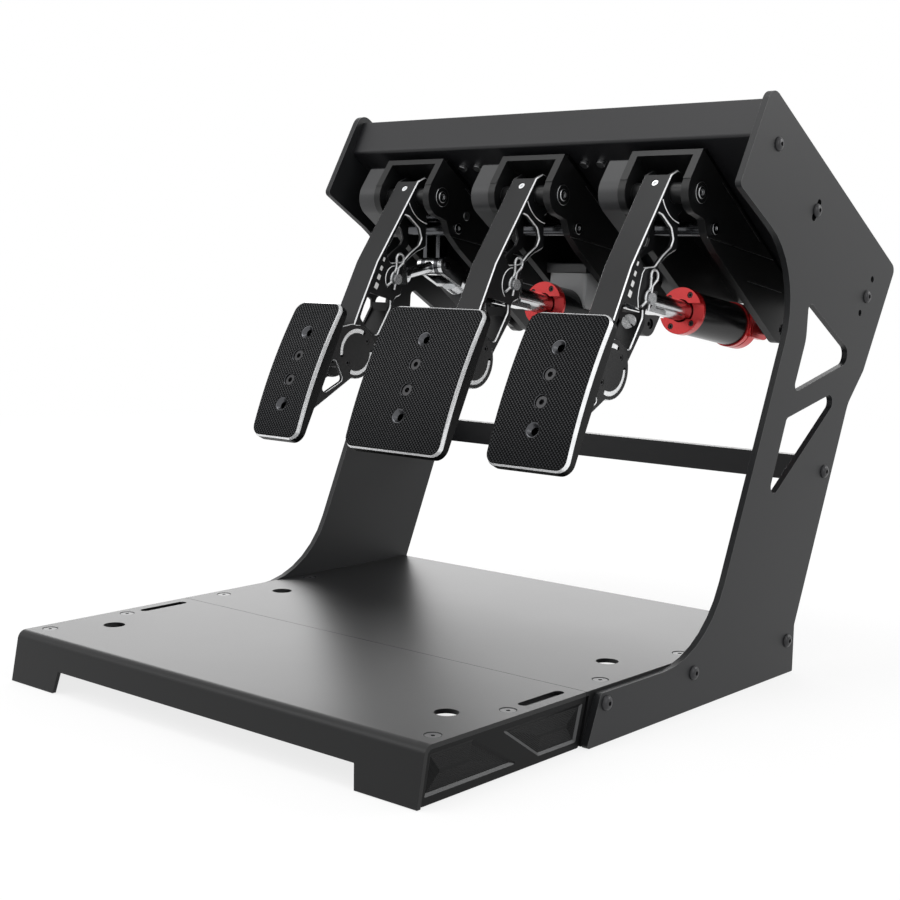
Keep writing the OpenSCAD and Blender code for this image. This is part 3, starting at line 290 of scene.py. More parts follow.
def smooth_by_angle():
    """Node group that drops stored normals and shades smooth below a sharp edge."""
    group = bpy.data.node_groups.new("smooth_by_angle", "GeometryNodeTree")
    group.interface.new_socket("Geometry", in_out="INPUT", socket_type="NodeSocketGeometry")
    group.interface.new_socket("Geometry", in_out="OUTPUT", socket_type="NodeSocketGeometry")
    start = group.nodes.new("NodeGroupInput")
    end = group.nodes.new("NodeGroupOutput")
    drop = group.nodes.new("GeometryNodeRemoveAttribute")
    drop.inputs["Name"].default_value = "custom_normal"
    faces = group.nodes.new("GeometryNodeSetShadeSmooth")
    edges = group.nodes.new("GeometryNodeSetShadeSmooth")
    edges.domain = "EDGE"
    angle = group.nodes.new("GeometryNodeInputMeshEdgeAngle")
    sharp = group.nodes.new("FunctionNodeCompare")
    sharp.operation = "LESS_THAN"
    sharp.inputs["B"].default_value = SMOOTH_ANGLE
    link = group.links.new
    link(start.outputs["Geometry"], drop.inputs["Geometry"])
    link(drop.outputs["Geometry"], faces.inputs["Geometry"])
    link(faces.outputs["Geometry"], edges.inputs["Geometry"])
    link(angle.outputs["Unsigned Angle"], sharp.inputs["A"])
    link(sharp.outputs["Result"], edges.inputs["Shade Smooth"])
    link(edges.outputs["Geometry"], end.inputs["Geometry"])
    return group


SMOOTH = smooth_by_angle()


def even_normals(obj):
    """Keeps flat faces flat beside their rounded edges."""
    made = obj.modifiers.new("even", "WEIGHTED_NORMAL")
    made.mode = "FACE_AREA"
    made.weight = 90


def finish_node(name, material, edge=None, bevel=0.4):
    """Material and small rounded edges for a CAD part; bevel is in mm. An edge material colours the
    rounded edges lighter, a painted edge highlight.
    """
    obj = nodes[name]
    obj.data.materials.clear()
    obj.data.materials.append(material)
    obj.modifiers.new("smooth", "NODES").node_group = SMOOTH
    weld = obj.modifiers.new("weld", "WELD")
    weld.merge_threshold = 1e-6
    if bevel:
        flat = obj.modifiers.new("flat", "DECIMATE")
        flat.decimate_type = "DISSOLVE"
        flat.angle_limit = FLAT_ANGLE
        rounded = obj.modifiers.new("rounded", "BEVEL")
        rounded.width = bevel * MM
        rounded.segments = 2
        rounded.limit_method = "ANGLE"
        rounded.angle_limit = SHARP_ANGLE
        if edge:
            obj.data.materials.append(edge)
            rounded.material = 1
        even_normals(obj)
    else:
        obj.modifiers.new("smooth_again", "NODES").node_group = SMOOTH


# A lighter second material on an entry paints highlights on the rounded edges
FINISH = {
    "base_front_plate": (PAINT, None, 0.5),
    "base_rear_plate": (PAINT, None, 0.4),
    "base_cap_left": (CAP_PLASTIC, None, 0.3),
    "base_cap_right": (CAP_PLASTIC, None, 0.3),
    "base_rails": (SCREW_BLACK, None, 0.3),
    "side_panel_left": (PANEL, PANEL_EDGE_HIGHLIGHT, 0.45),
    "side_panel_right": (PANEL, PANEL_EDGE_HIGHLIGHT, 0.45),
    "rear_crossbar": (BEAM, None, 0.6),
    "carrier_beam": (BEAM, None, 0.5),
    "frame_screws": (SCREW_BLACK, None, 0),
    "carrier_bolts": (STEEL, None, 0.2),
    "spacer_rails": (SPACER, None, 0.3),
}
for module in MODULES:
    FINISH.update({
        f"chassis_{module}": (CHASSIS, EDGE_PAINTED_SHEEN, 0.5),
        f"sensor_housing_{module}": (HOUSING, None, 0.6),
        # Steel edges on the dark pivot shaft and tie bar are painted highlights
        f"pivot_shaft_{module}": (CHASSIS, STEEL, 0.45),
        f"tie_bar_{module}": (DARK_STEEL, STEEL, 0.3),
        f"rear_pin_{module}": (SCREW_BLACK, None, 0.2),
        f"pad_screws_{module}": (SCREW_BLACK, None, 0),
        f"clevis_pin_{module}": (PIN_STEEL, None, 0),
    })
for module in MODULES[1:]:
    FINISH.update({
        f"plunger_{module}": (NICKEL, None, 0.5),
        f"cap_{module}": (RED, None, 0.4),
        f"cylinder_{module}": (CYLINDER, None, 0.3),
        f"collar_{module}": (RED, None, 0.4),
    })
FINISH.update({
    "damper_stack_brake": (RUBBER, None, 0),
    "return_spring_throttle": (SPRING, None, 0),
    "return_spring_clutch": (SPRING, None, 0),
    "pushrod_clutch": (NICKEL, None, 0.4),
    "lever_clutch": (DARK_STEEL, None, 0.4),
    "plunger_clutch": (NICKEL, None, 0.4),
    "cylinder_clutch": (DARK_CYLINDER, None, 0.3),
    "lever_shaft_clutch": (STEEL, None, 0.3),
})
for node_name, (material, edge, bevel) in FINISH.items():
    finish_node(node_name, material, edge, bevel)

# Frames of the model


def frame_at(origin, across, up, along):
    """Matrix from mm in a local frame to metres in the row frame."""
    turn = Matrix((across, up, along)).transposed().to_4x4()
    return Matrix.Translation(Vector(origin) * MM) @ turn @ Matrix.Scale(MM, 4)


def pad_frame(i):
    """X to the right, Y into the pad, Z up along it."""
    into = Vector((0, math.cos(PAD_TILT), -math.sin(PAD_TILT)))
    along = Vector((0, math.sin(PAD_TILT), math.cos(PAD_TILT)))
    return frame_at((ARM_X[i] + PAD_SHIFT, *PAD_FOOT), Vector((1, 0, 0)), into, along)


def line_frame(i):
    """Z along the line of a cylinder, from under its front pin, Y up."""
    gap = math.dist(CLEVIS[i], REAR_PIVOT)
    drop = math.atan2(CLEVIS[i][1] - REAR_PIVOT[1], REAR_PIVOT[0] - CLEVIS[i][0])
    tilt = drop - math.asin(PIN_LIFT[i] / gap)
    reach = math.sqrt(gap**2 - PIN_LIFT[i] ** 2)
    along = Vector((0, math.cos(tilt), -math.sin(tilt)))
    up = Vector((0, math.sin(tilt), math.cos(tilt)))
    origin = Vector((ARM_X[i], *REAR_PIVOT)) - along * reach
    return frame_at(origin, Vector((1, 0, 0)), up, along)


# Pieces


def new_piece(name, bm, material, body, place=None, smooth=SMOOTH_ANGLE):
    """Mesh object from a bmesh in mm, set in place and riding on a body."""
    bm.transform(place or Matrix.Scale(MM, 4))
    bmesh.ops.recalc_face_normals(bm, faces=bm.faces[:])
    for face in bm.faces:
        face.smooth = True
    for edge in bm.edges:
        edge.smooth = len(edge.link_faces) == 2 and edge.calc_face_angle(0.0) < smooth
    mesh = bpy.data.meshes.new(name)
    bm.to_mesh(mesh)
    bm.free()
    if "custom_normal" in mesh.attributes:
        mesh.attributes.remove(mesh.attributes["custom_normal"])
    for item in material if isinstance(material, list) else [material]:
        mesh.materials.append(item)
    obj = bpy.data.objects.new(name, mesh)
    scene.collection.objects.link(obj)
    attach(obj, body)
    return obj


def from_node(name):
    """CAD part as a clean bmesh in mm."""
    bm = bmesh.new()
    bm.from_mesh(nodes[name].data)
    bmesh.ops.scale(bm, vec=(1 / MM,) * 3, verts=bm.verts[:])
    bmesh.ops.remove_doubles(bm, verts=bm.verts[:], dist=1e-3)
    bmesh.ops.dissolve_limit(bm, angle_limit=FLAT_ANGLE, verts=bm.verts[:], edges=bm.edges[:])
    for face in bm.faces:
        face.material_index = 0
    return bm


def chamfer(bm, pick, width, index, segments=1):
    """Chamfers the sharp outer edges for which pick(a, b) holds."""
    chosen = [
        e for e in bm.edges
        if len(e.link_faces) == 2 and e.is_convex and e.calc_face_angle(0.0) > SHARP_ANGLE
        and pick(e.verts[0].co, e.verts[1].co)
    ]
    bmesh.ops.bevel(bm, geom=chosen, offset=width, offset_type="OFFSET", segments=segments, profile=0.5,
                    affect="EDGES", clamp_overlap=False, material=index)


def apart(p, centre):
    """Distance in the Y Z plane."""
    return math.hypot(p.y - centre[0], p.z - centre[1])


def on_plane(a, b, x):
    """Whether both points lie at X = x."""
    return abs(a.x - x) < 0.02 and abs(b.x - x) < 0.02


def soften(obj, width):
    """Small rounded edges on a new piece; width is in mm."""
    made = obj.modifiers.new("rounded", "BEVEL")
    made.width = width * MM
    made.segments = 2
    made.limit_method = "ANGLE"
    made.angle_limit = SHARP_ANGLE
    even_normals(obj)


DISC_BOLTS = [(DISC[0] + 12.3, DISC[1] + 8.2), (DISC[0] - 10.5, DISC[1] - 8.5)]
INDEX_MARKS = [(9.3 + 2.95 * k, 290.5 + 7.25 * k) for k in range(4)]
MARKED = (0, 2)

# Edges of the arms that stay plain lie within these radii, or along this line of the lower window, where
# the plain dark edge is painted shade
PIN_CLEAR, DISC_CLEAR, PIVOT_CLEAR, MARK_CLEAR = 6.0, 21.3, 6.5, 4.3
ARM_CHAMFER = 0.8
WINDOW_SHADE = [(26.2, 279.5), (0.7, 285.2), (-5.6, 274.0), (-9.9, 264.6), (-1.5, 255.7), (6.0, 251.7)]


def heading(start, end):
    """Direction of length 1 between two points of the Y Z plane."""
    dy, dz = end[0] - start[0], end[1] - start[1]
    away = math.hypot(dy, dz)
    return dy / away, dz / away


def off_line(p, line):
    """Distance in the Y Z plane from p to a line through points."""
    best = math.inf
    for (y0, z0), (y1, z1) in zip(line, line[1:]):
        dy, dz = y1 - y0, z1 - z0
        share = ((p.y - y0) * dy + (p.z - z0) * dz) / (dy * dy + dz * dz)
        share = min(1.0, max(0.0, share))
        best = min(best, math.hypot(p.y - y0 - share * dy, p.z - z0 - share * dz))
    return best


def dressed_arm(i):
    """Pedal arm with polished chamfers along its outlines and most of its windows."""
    name = f"arm_{MODULES[i]}"
    bm = from_node(name)
    x = ARM_X[i]
    plain = [(CLEVIS[i], PIN_CLEAR), (DISC, DISC_CLEAR), (PIVOT, PIVOT_CLEAR)]
    if i in MARKED:
        plain += [(mark, MARK_CLEAR) for mark in INDEX_MARKS]

    def outer(a, b):
        if not (on_plane(a, b, x + ARM_HALF) or on_plane(a, b, x - ARM_HALF)):
            return False
        near = min(apart(a, centre) - radius for centre, radius in plain)
        return near > 0 and off_line((a + b) / 2, WINDOW_SHADE) > 1.0

    chamfer(bm, outer, ARM_CHAMFER, 1)
    arm = new_piece(f"{name}_shell", bm, [ARM, CHROME], BODIES[i])
    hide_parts(name)
    soften(arm, 0.12)


BRACKET_CHAMFER = 0.5
BOLT_CLEAR = 3.2
SLOT_REACH = 20
DIM_FROM, DIM_TO = 20, 82


def dressed_bracket(i):
    """Pad bracket with polished outlines; at the upper rear of its disc the outlines are a dimmer grey
    instead, painted shade.
    """
    name = f"pad_bracket_{MODULES[i]}"
    bm = from_node(name)
    x = ARM_X[i]

    def outer(a, b):
        near = min(apart(a, c) for c in DISC_BOLTS)
        side = ARM_HALF + BRACKET_T
        return (on_plane(a, b, x + side) or on_plane(a, b, x - side)) and near > BOLT_CLEAR

    def dim(a, b):
        mid = (a + b) / 2
        turn = math.degrees(math.atan2(mid.z - DISC[1], mid.y - DISC[0]))
        return DIM_FROM < turn < DIM_TO or apart(mid, DISC) < SLOT_REACH

    def dim_outline(a, b):
        return outer(a, b) and dim(a, b) and apart((a + b) / 2, DISC) > SLOT_REACH

    chamfer(bm, lambda a, b: outer(a, b) and not dim(a, b), BRACKET_CHAMFER, 1)
    chamfer(bm, dim_outline, BRACKET_CHAMFER, 2)
    bracket = new_piece(f"{name}_shell", bm, [BRACKET, CHROME, EDGE_PAINTED_SHEEN], BODIES[i])
    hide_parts(name)
    soften(bracket, 0.1)


def pad_face(z):
    """Depth of the front of a pad, in the pad frame, at height z."""
    return PAD_RADIUS * (1 - math.cos(math.asin((z - PAD_MID) / PAD_RADIUS))) - PAD_CROWN


RIM = 1.15
RIM_GAP = 0.1
RIM_RADIUS = 9.0
SIDE_DEPTH = 2.0
MOUTH_CHAMFER = 0.3
MOUTH_REACH = 8
MOUTH_WALL = 5.9
PAD_THICKNESS = 6


def inside_pad(x, z, half_x, half_z, radius):
    """Distance out of a rectangle with round corners, and the nearest point of its edge."""
    qx, qz = abs(x) - (half_x - radius), abs(z) - (half_z - radius)
    if qx > 0 and qz > 0:
        d = math.hypot(qx / radius, qz / radius)
        fx, fz = half_x - radius + qx / d, half_z - radius + qz / d
        return (d - 1) * radius, math.copysign(fx, x), math.copysign(fz, z)
    if qx > qz:
        return qx - radius, math.copysign(half_x, x), z
    return qz - radius, x, math.copysign(half_z, z)


def to_hole(x, z):
    """Distance to the middle of the nearest hole of a pad."""
    return min(math.hypot(x, z - h) for h in PAD_HOLES)


def dressed_pad(i):
    """Pad plate with a polished rim that is deeper at its sides, and dark mouths of its holes."""
    name = f"pad_{MODULES[i]}"
    bm = from_node(name)
    to_pad = pad_frame(i).inverted() @ Matrix.Scale(MM, 4)

    def place(p):
        return to_pad @ p

    def rim(a, b):
        a, b = place(a), place(b)
        at_front = all(abs(p.y - pad_face(p.z)) < 0.1 for p in (a, b))
        return at_front and to_hole(a.x, a.z) >= MOUTH_REACH

    def hole(a, b):
        a, b = place(a), place(b)
        at_front = all(abs(p.y - pad_face(p.z)) < 0.6 for p in (a, b))
        return at_front and to_hole(a.x, a.z) < MOUTH_REACH

    chamfer(bm, rim, RIM, 1)
    back = to_pad.inverted()
    half_x, half_z = PAD_WIDTHS[i] / 2, PAD_LENGTH / 2
    for v in bm.verts:
        at = place(v.co)
        out, ex, ez = inside_pad(at.x, at.z - PAD_MID, half_x, half_z, RIM_RADIUS)
        on_rim = 0.4 < at.y - pad_face(at.z) < 1.8
        if on_rim and abs(out) < 0.3:
            qx, qz = abs(ex) - (half_x - RIM_RADIUS), abs(ez) - (half_z - RIM_RADIUS)
            facing = qx / math.hypot(qx, qz) if qx > 0 and qz > 0 else (1.0 if qx > qz else 0.0)
            v.co = back @ (at + Vector((0, SIDE_DEPTH * facing, 0)))
    chamfer(bm, hole, MOUTH_CHAMFER, 2)
    for face in bm.faces:
        at = place(face.calc_center_median())
        inside = pad_face(at.z) + 0.1 < at.y < PAD_THICKNESS
        if inside and face.material_index == 0 and to_hole(at.x, at.z) < MOUTH_WALL:
            face.material_index = 2
    pad = new_piece(f"{name}_plate", bm, [PAD_BLACK, CHROME, DARK_STEEL], BODIES[i])
    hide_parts(name)
    soften(pad, 0.12)


KNURL_STEP = 1.45
KNURL_HEIGHT = 0.62
KNURL_SMOOTH = math.radians(5)
KNURL_SINK = 0.04
SNAP = 0.15
MOUTH_RADII = [5.75, 5.35, 5.35, 5.75]


def knurled_skin(i):
    """Diamond grip on the face of a pad, inside its rim and round its holes; facets leaning up and to the
    right take a lighter colour, a painted highlight.
    """
    half_x = PAD_WIDTHS[i] / 2 - RIM - RIM_GAP
    half_z = PAD_LENGTH / 2 - RIM - RIM_GAP
    columns = int(half_x / KNURL_STEP) + 1
    rows = int(half_z / KNURL_STEP) + 1
    bm = bmesh.new()
    grid = {}
    for c in range(-columns, columns + 1):
        for r in range(-rows, rows + 1):
            x, z = c * KNURL_STEP, r * KNURL_STEP
            out, ex, ez = inside_pad(x, z, half_x, half_z, RIM_RADIUS - RIM)
            lift = KNURL_HEIGHT if (c + r) % 2 == 0 else 0.0
            if out > KNURL_STEP:
                continue
            if out > -SNAP:
                x, z, lift = ex, ez, 0.0
            for radius, h in zip(MOUTH_RADII, PAD_HOLES):
                away = math.hypot(x, z + PAD_MID - h)
                if away < radius - KNURL_STEP:
                    break
                if away < radius + SNAP:
                    share = radius / max(away, 1e-6)
                    x, z, lift = x * share, (z + PAD_MID - h) * share + h - PAD_MID, 0.0
            else:
                depth = pad_face(z + PAD_MID) - KNURL_SINK - lift
                grid[c, r] = bm.verts.new((x, depth, z + PAD_MID))
    for c, r in list(grid):
        ring = [grid.get(k) for k in ((c, r), (c + 1, r), (c + 1, r + 1), (c, r + 1))]
        if None in ring:
            continue
        first = ring if (c + r) % 2 else ring[1:] + ring[:1]
        for tri in ((first[0], first[1], first[2]), (first[0], first[2], first[3])):
            bm.faces.new(tri)
    bmesh.ops.dissolve_degenerate(bm, dist=1e-4, edges=bm.edges[:])
    name = f"pad_knurl_{MODULES[i]}"
    # Facets leaning up and to the right get the lighter colour: painted highlight
    for face in bm.faces:
        face.normal_update()
        lean = face.normal if face.normal.y < 0 else -face.normal
        if lean.x > 0.1 and lean.z > 0.1:
            face.material_index = 1
    new_piece(name, bm, [KNURL, KNURL_PAINTED_HIGHLIGHT], BODIES[i], pad_frame(i),
              smooth=KNURL_SMOOTH)


def ring_of(bm, radius, z, count=24, flats=0):
    """Ring of points round Z; with flats it is a hexagon of that half width."""
    made = []
    for k in range(count):
        a = 2 * math.pi * k / count
        r = flats / math.cos((a % (math.pi / 3)) - math.pi / 6) if flats else radius
        made.append(bm.verts.new((r * math.cos(a), r * math.sin(a), z)))
    return made


def skin_rings(bm, rings, close=True):
    """Faces between rings of as many points, and over the first and the last of them."""
    for one, two in zip(rings, rings[1:]):
        n = len(one)
        for k in range(n):
            bm.faces.new((one[k], one[(k + 1) % n], two[(k + 1) % n], two[k]))
    if close:
        bm.faces.new(rings[-1])
        bm.faces.new(rings[0][::-1])


def socket_head(place, radius, height, socket, depth):
    """Round screw head with a hexagon socket, its top at z = 0 and its body towards +Z."""
    bm = bmesh.new()
    rings = [
        ring_of(bm, radius, height),
        ring_of(bm, radius, radius / 8),
        ring_of(bm, radius * 0.9, 0.0),
        ring_of(bm, 0, 0.0, flats=socket),
        ring_of(bm, 0, depth, flats=socket),
    ]
    skin_rings(bm, rings)
    bm.transform(place)
    return bm


def join(parts):
    """One bmesh from several."""
    whole = bmesh.new()
    for part in parts:
        mesh = bpy.data.meshes.new("part")
        part.to_mesh(mesh)
        part.free()
        whole.from_mesh(mesh)
        bpy.data.meshes.remove(mesh)
    return whole


CAP_SCREW_ANGLES = [math.radians(a) for a in (60, -41, -120, 139)]
CAP_SCREW_CIRCLE = 14.3


def cap_screws(i):
    """Four socket screws sunk in the front of a red cap."""
    heads = []
    for a in CAP_SCREW_ANGLES:
        at = (CAP_SCREW_CIRCLE * math.cos(a), CAP_SCREW_CIRCLE * math.sin(a), CAP_START[i] + 0.5)
        heads.append(socket_head(Matrix.Translation(at), 2.1, 2.6, 1.05, 1.5))
    new_piece(f"cap_screws_{MODULES[i]}", join(heads), SCREW_BLACK, f"{MODULES[i]}_cylinder",
              line_frame(i))


ARM_FRONT_TOP = Vector((0, 58.8, 377.8))
ARM_FRONT_LOW = Vector((0, 10, 310.5))
LOCK_SCREW_DROP = 7


def lock_screw(i):
    """Set screw near the top of the front of an arm."""
    down = (ARM_FRONT_LOW - ARM_FRONT_TOP).normalized()
    at = ARM_FRONT_TOP + LOCK_SCREW_DROP * down
    into = Vector((0, -down.z, down.y))
    place = frame_at((ARM_X[i], at.y, at.z), Vector((1, 0, 0)), into.cross(Vector((1, 0, 0))), into)
    bm = socket_head(Matrix.Translation((0, 0, 0.5)), 2.85, 1.4, 1.5, 1.1)
    new_piece(f"lock_screw_{MODULES[i]}", bm, CHROME, BODIES[i], place)


MARK_TURN = math.radians(-29)
MARK_DEPTH = 0.3
MARK_FLOOR = 0.39


def index_marks(i):
    """Painted marks, smaller towards the top, in shallow recesses on the right side of an arm."""
    for k, at in enumerate(INDEX_MARKS):
        bm = bmesh.new()
        bmesh.ops.create_cube(bm, size=1.0)
        bmesh.ops.scale(bm, vec=(MARK_DEPTH, 3.9 - k * 0.6, 5.0 - k * 0.6), verts=bm.verts[:])
        x = ARM_X[i] + ARM_HALF - MARK_FLOOR + MARK_DEPTH / 2
        bm.transform(Matrix.Translation((x, *at)) @ Matrix.Rotation(MARK_TURN, 4, "X"))
        new_piece(f"index_mark_{MODULES[i]}_{k + 1}", bm, WHITE, BODIES[i])


SLOT_SPANS = [(-113, -3), (62, 186)]
SLOT_DEPTH = 0.9
SLOT_INNER, SLOT_OUTER = 15.45, 18.95
SLOT_FLOOR_HALF = 0.35


def slot_inlays(i):
    """Bright floors of the arc slots in the two discs of a bracket."""
    bm = bmesh.new()
    for side in (-1, 1):
        for start, end in SLOT_SPANS:
            x = ARM_X[i] + side * (ARM_HALF + BRACKET_T - SLOT_DEPTH)
            steps = max(4, int((end - start) / 4.5))
            angles = [math.radians(start + (end - start) * k / steps) for k in range(steps + 1)]
            outline = [(SLOT_OUTER, a) for a in angles]
            outline += [(SLOT_INNER, a) for a in reversed(angles)]
            rings = []
            for dx in (-SLOT_FLOOR_HALF, SLOT_FLOOR_HALF):
                rings.append([
                    bm.verts.new((x + dx, DISC[0] + r * math.cos(a), DISC[1] + r * math.sin(a)))
                    for r, a in outline
                ])
            skin_rings(bm, rings)
    new_piece(f"slot_inlay_{MODULES[i]}", bm, CHROME, BODIES[i])


TANK_TOP = 303.6
LID_CORNER, TANK_CORNER = 7.0, 5.0


def reservoir():
    """Tank with rounded upright corners, darker above its seam."""
    bm = from_node("reservoir_brake")

    def upright(a, b):
        return abs(a.x - b.x) < 0.01 and abs(a.y - b.y) < 0.01

    chamfer(bm, lambda a, b: upright(a, b) and min(a.z, b.z) > TANK_TOP - 0.1, LID_CORNER, 1, 6)
    chamfer(bm, lambda a, b: upright(a, b) and max(a.z, b.z) < TANK_TOP + 0.1, TANK_CORNER, 0, 5)
    for face in bm.faces:
        above = min(v.co.z for v in face.verts) > TANK_TOP - 0.1
        if above or face.calc_center_median().z > TANK_TOP + 0.3:
            face.material_index = 1
    tank = new_piece("reservoir_brake_tank", bm, [TANK, TANK_LID], "brake_cylinder")
    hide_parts("reservoir_brake")
    soften(tank, 0.5)


def ridge(bm, x, line, width, height):
    """Thin raised line with a triangular section along points of the Y Z plane."""
    root = x - 0.2
    rings = []
    for k, (y, z) in enumerate(line):
        uy, uz = heading(line[max(k - 1, 0)], line[min(k + 1, len(line) - 1)])
        side_y, side_z = -uz * width / 2, uy * width / 2
        rings.append([
            bm.verts.new((root, y - side_y, z - side_z)),
            bm.verts.new((x + height, y, z)),
            bm.verts.new((root, y + side_y, z + side_z)),
        ])
    skin_rings(bm, rings)


def arc_points(centre, radius, start, end, count=16):
    """Points of an arc in the Y Z plane, between two angles in degrees."""
    angles = [math.radians(start + (end - start) * k / count) for k in range(count + 1)]
    return [(centre[0] + radius * math.cos(a), centre[1] + radius * math.sin(a)) for a in angles]


PIN_LINES = [
    arc_points(CLEVIS[0], 11.0, 88, 218),
    arc_points(CLEVIS[1], 13.2, 90, 222),
    [(33.0, 309.4), (27.4, 308.5), (24.2, 305.2), (22.3, 299.5), (20.2, 293.0), (19.2, 287.0),
     (20.2, 280.6)],
]
HUB_LINE = arc_points((75.1, 372.9), 30.3, 206, 262)
LINE_WIDTH = 1.1
LINE_HEIGHT = 0.45


def cheek_highlight_lines(i):
    """Thin bright ridges on the right cheek of an arm, by the hub and round the pin: they stand for the
    shoulder edges there, and their bright colour is a painted highlight along those edges.
    """
    bm = bmesh.new()
    face = ARM_X[i] + ARM_HALF
    for line in (HUB_LINE, PIN_LINES[i]):
        ridge(bm, face, line, LINE_WIDTH, LINE_HEIGHT)
    new_piece(f"cheek_highlight_lines_{MODULES[i]}", bm, CHROME, BODIES[i])


CHASSIS_HALF = 30.95
GROOVES = [
    ((93.6, 372.9), (153.6, 330)),
    ((75.7, 332), (175.7, 316.4)),
    ((135.7, 300), (191.4, 290.7)),
]
GROOVE_SECTION = [(-0.5, 0.05), (-0.12, 0.05), (-0.12, 0.62), (-0.5, 0.62)]
GROOVE_END = 0.2


def groove_inlays(i):
    """Bright floors of the three fine grooves on the right side of a chassis."""
    bm = bmesh.new()
    face = MODULE_X[i] + CHASSIS_HALF
    for (y0, z0), (y1, z1) in GROOVES:
        uy, uz = heading((y0, z0), (y1, z1))
        start = (y0 + uy * GROOVE_END, z0 + uz * GROOVE_END)
        end = (y1 - uy * GROOVE_END, z1 - uz * GROOVE_END)
        rings = []
        for y, z in (start, end):
            rings.append([
                bm.verts.new((face + dx, y - uz * side, z + uy * side))
                for dx, side in GROOVE_SECTION
            ])
        skin_rings(bm, rings)
    new_piece(f"groove_inlay_{MODULES[i]}", bm, STEEL, "frame")


BARREL_AT = (ARM_X[2] + 0.6, 27.6, 269.2)
BARREL_AXIS = Vector((0.3, -0.9, 0.15)).normalized()
BARREL_SLOT = Vector((0.54, 0.46, -0.7))
BARREL_CORE = 5.3
BARREL_HEAD = [(2.0, 5.6), (4.0, 5.6), (4.5, 5.1)]
HALF_SLOT = 0.6


def stop_screw():
    """Slotted barrel set in the rear wall of the throttle arm, seen through its lower window."""
    slot = (BARREL_SLOT - BARREL_AXIS * BARREL_SLOT.dot(BARREL_AXIS)).normalized()
    place = frame_at(BARREL_AT, slot, BARREL_AXIS.cross(slot), BARREL_AXIS)
    bm = bmesh.new()
    skin_rings(bm, [ring_of(bm, BARREL_CORE, -1.5), ring_of(bm, BARREL_CORE, 2.6)])
    for side in (-1, 1):
        rings = []
        for z, radius in BARREL_HEAD:
            reach = math.acos(HALF_SLOT / radius)
            rings.append([
                bm.verts.new((radius * math.sin(a), side * radius * math.cos(a), z))
                for a in (reach * (2 * k / 10 - 1) for k in range(11))
            ])
        skin_rings(bm, rings)
    new_piece("stop_screw_throttle", bm, CHROME, BODIES[2], place)


CAP_FACE = 199.0
RIB_STEP = 0.55
RIB_SMOOTH = math.radians(8)
SLOPE_WIDTH, SLOPE_DEPTH = 1.9, 1.2
RIB_START = 2.1
RIB_TOP, RIB_HEIGHT = 1.3, 0.25
POCKETS = [
    [(-281.4, 5.5), (-195.0, 5.5), (-237.7, 30.4), (-276.5, 30.4)],
    [(-173.7, 4.9), (-134.6, 4.9), (-127.4, 29.5), (-211.0, 29.5)],
]


def inset(outline, gap):
    """Convex outline moved inwards by gap."""
    lines = []
    for k, (y, z) in enumerate(outline):
        uy, uz = heading((y, z), outline[(k + 1) % len(outline)])
        lines.append((-uz, uy, -uz * y + uy * z + gap))
    made = []
    for k in range(len(lines)):
        a0, b0, c0 = lines[k - 1]
        a1, b1, c1 = lines[k]
        det = a0 * b1 - a1 * b0
        made.append(((c0 * b1 - c1 * b0) / det, (a0 * c1 - a1 * c0) / det))
    return made


def cap_ribs(side):
    """Slopes and fine nested ribs in the two pockets of a base cap; slopes facing up or forward take a
    lighter colour, a painted highlight.
    """
    bm = bmesh.new()
    for outline in POCKETS:
        half_height = (max(z for _, z in outline) - min(z for _, z in outline)) / 2
        count = int((half_height - RIB_START) / RIB_STEP)
        steps = [(0.0, 0.06), (SLOPE_WIDTH, SLOPE_DEPTH)]
        steps += [(RIB_START + RIB_STEP * k, RIB_TOP - RIB_HEIGHT * (k % 2)) for k in range(count)]
        rings = [
            [bm.verts.new((side * (CAP_FACE - depth), y, z)) for y, z in inset(outline, gap)]
            for gap, depth in steps
        ]
        skin_rings(bm, rings[:2], close=False)
        # Slopes facing up or forward get the lighter colour: painted highlight
        for k, face in enumerate(list(bm.faces)[-len(outline):]):
            uy, uz = heading(outline[k], outline[(k + 1) % len(outline)])
            if uy > 0.3 or (uz > 0.3 and uy > -0.3):
                face.material_index = 1
        skin_rings(bm, rings[1:], close=False)
        bm.faces.new(rings[-1])
    name = "cap_ribs_right" if side > 0 else "cap_ribs_left"
    new_piece(name, bm, [CAP_PLASTIC, CAP_PAINTED_HIGHLIGHT], "frame", smooth=RIB_SMOOTH)


DECK_TOP = 36.5
DECK_SCREWS = [(side * 188.6, y) for side in (-1, 1) for y in (-262.6, -191.9, -93.3, 5.1)]
RING_SECTION = [(5.15, -0.45), (5.15, -0.2), (5.8, -0.2), (5.8, -0.45)]


def deck_screw_shade_rings():
    """Near-black rings set in the gaps round the countersunk heads in the heel plates: painted shade."""
    rings = []
    for x, y in DECK_SCREWS:
        bm = bmesh.new()
        loops = [ring_of(bm, radius, z, 32) for radius, z in RING_SECTION]
        skin_rings(bm, loops + loops[:1], close=False)
        bm.transform(Matrix.Translation((x, y, DECK_TOP)))
        rings.append(bm)
    new_piece("deck_screw_shade_rings", join(rings), SPACER, "frame")


for i in range(len(MODULES)):
    dressed_arm(i)
    dressed_bracket(i)
    dressed_pad(i)
    knurled_skin(i)
    lock_screw(i)
    slot_inlays(i)
    cheek_highlight_lines(i)
    groove_inlays(i)
for i in (1, 2):
    cap_screws(i)
for i in MARKED:
    index_marks(i)
reservoir()
stop_screw()
for side in (-1, 1):
    cap_ribs(side)
deck_screw_shade_rings()

# Studio


FLOOR_HALF = 6.0
FLOOR_DROP = 0.0005


def seen_rays(tree):
    """Value of 1 on camera, glossy and transmission rays and 0 on the others."""
    rays = tree.nodes.new("ShaderNodeLightPath")
    value = rays.outputs["Is Camera Ray"]
    for kind in ("Is Glossy Ray", "Is Transmission Ray"):
        most = tree.nodes.new("ShaderNodeMath")
        most.operation = "MAXIMUM"
        tree.links.new(value, most.inputs[0])
        tree.links.new(rays.outputs[kind], most.inputs[1])
        value = most.outputs[0]
    return value


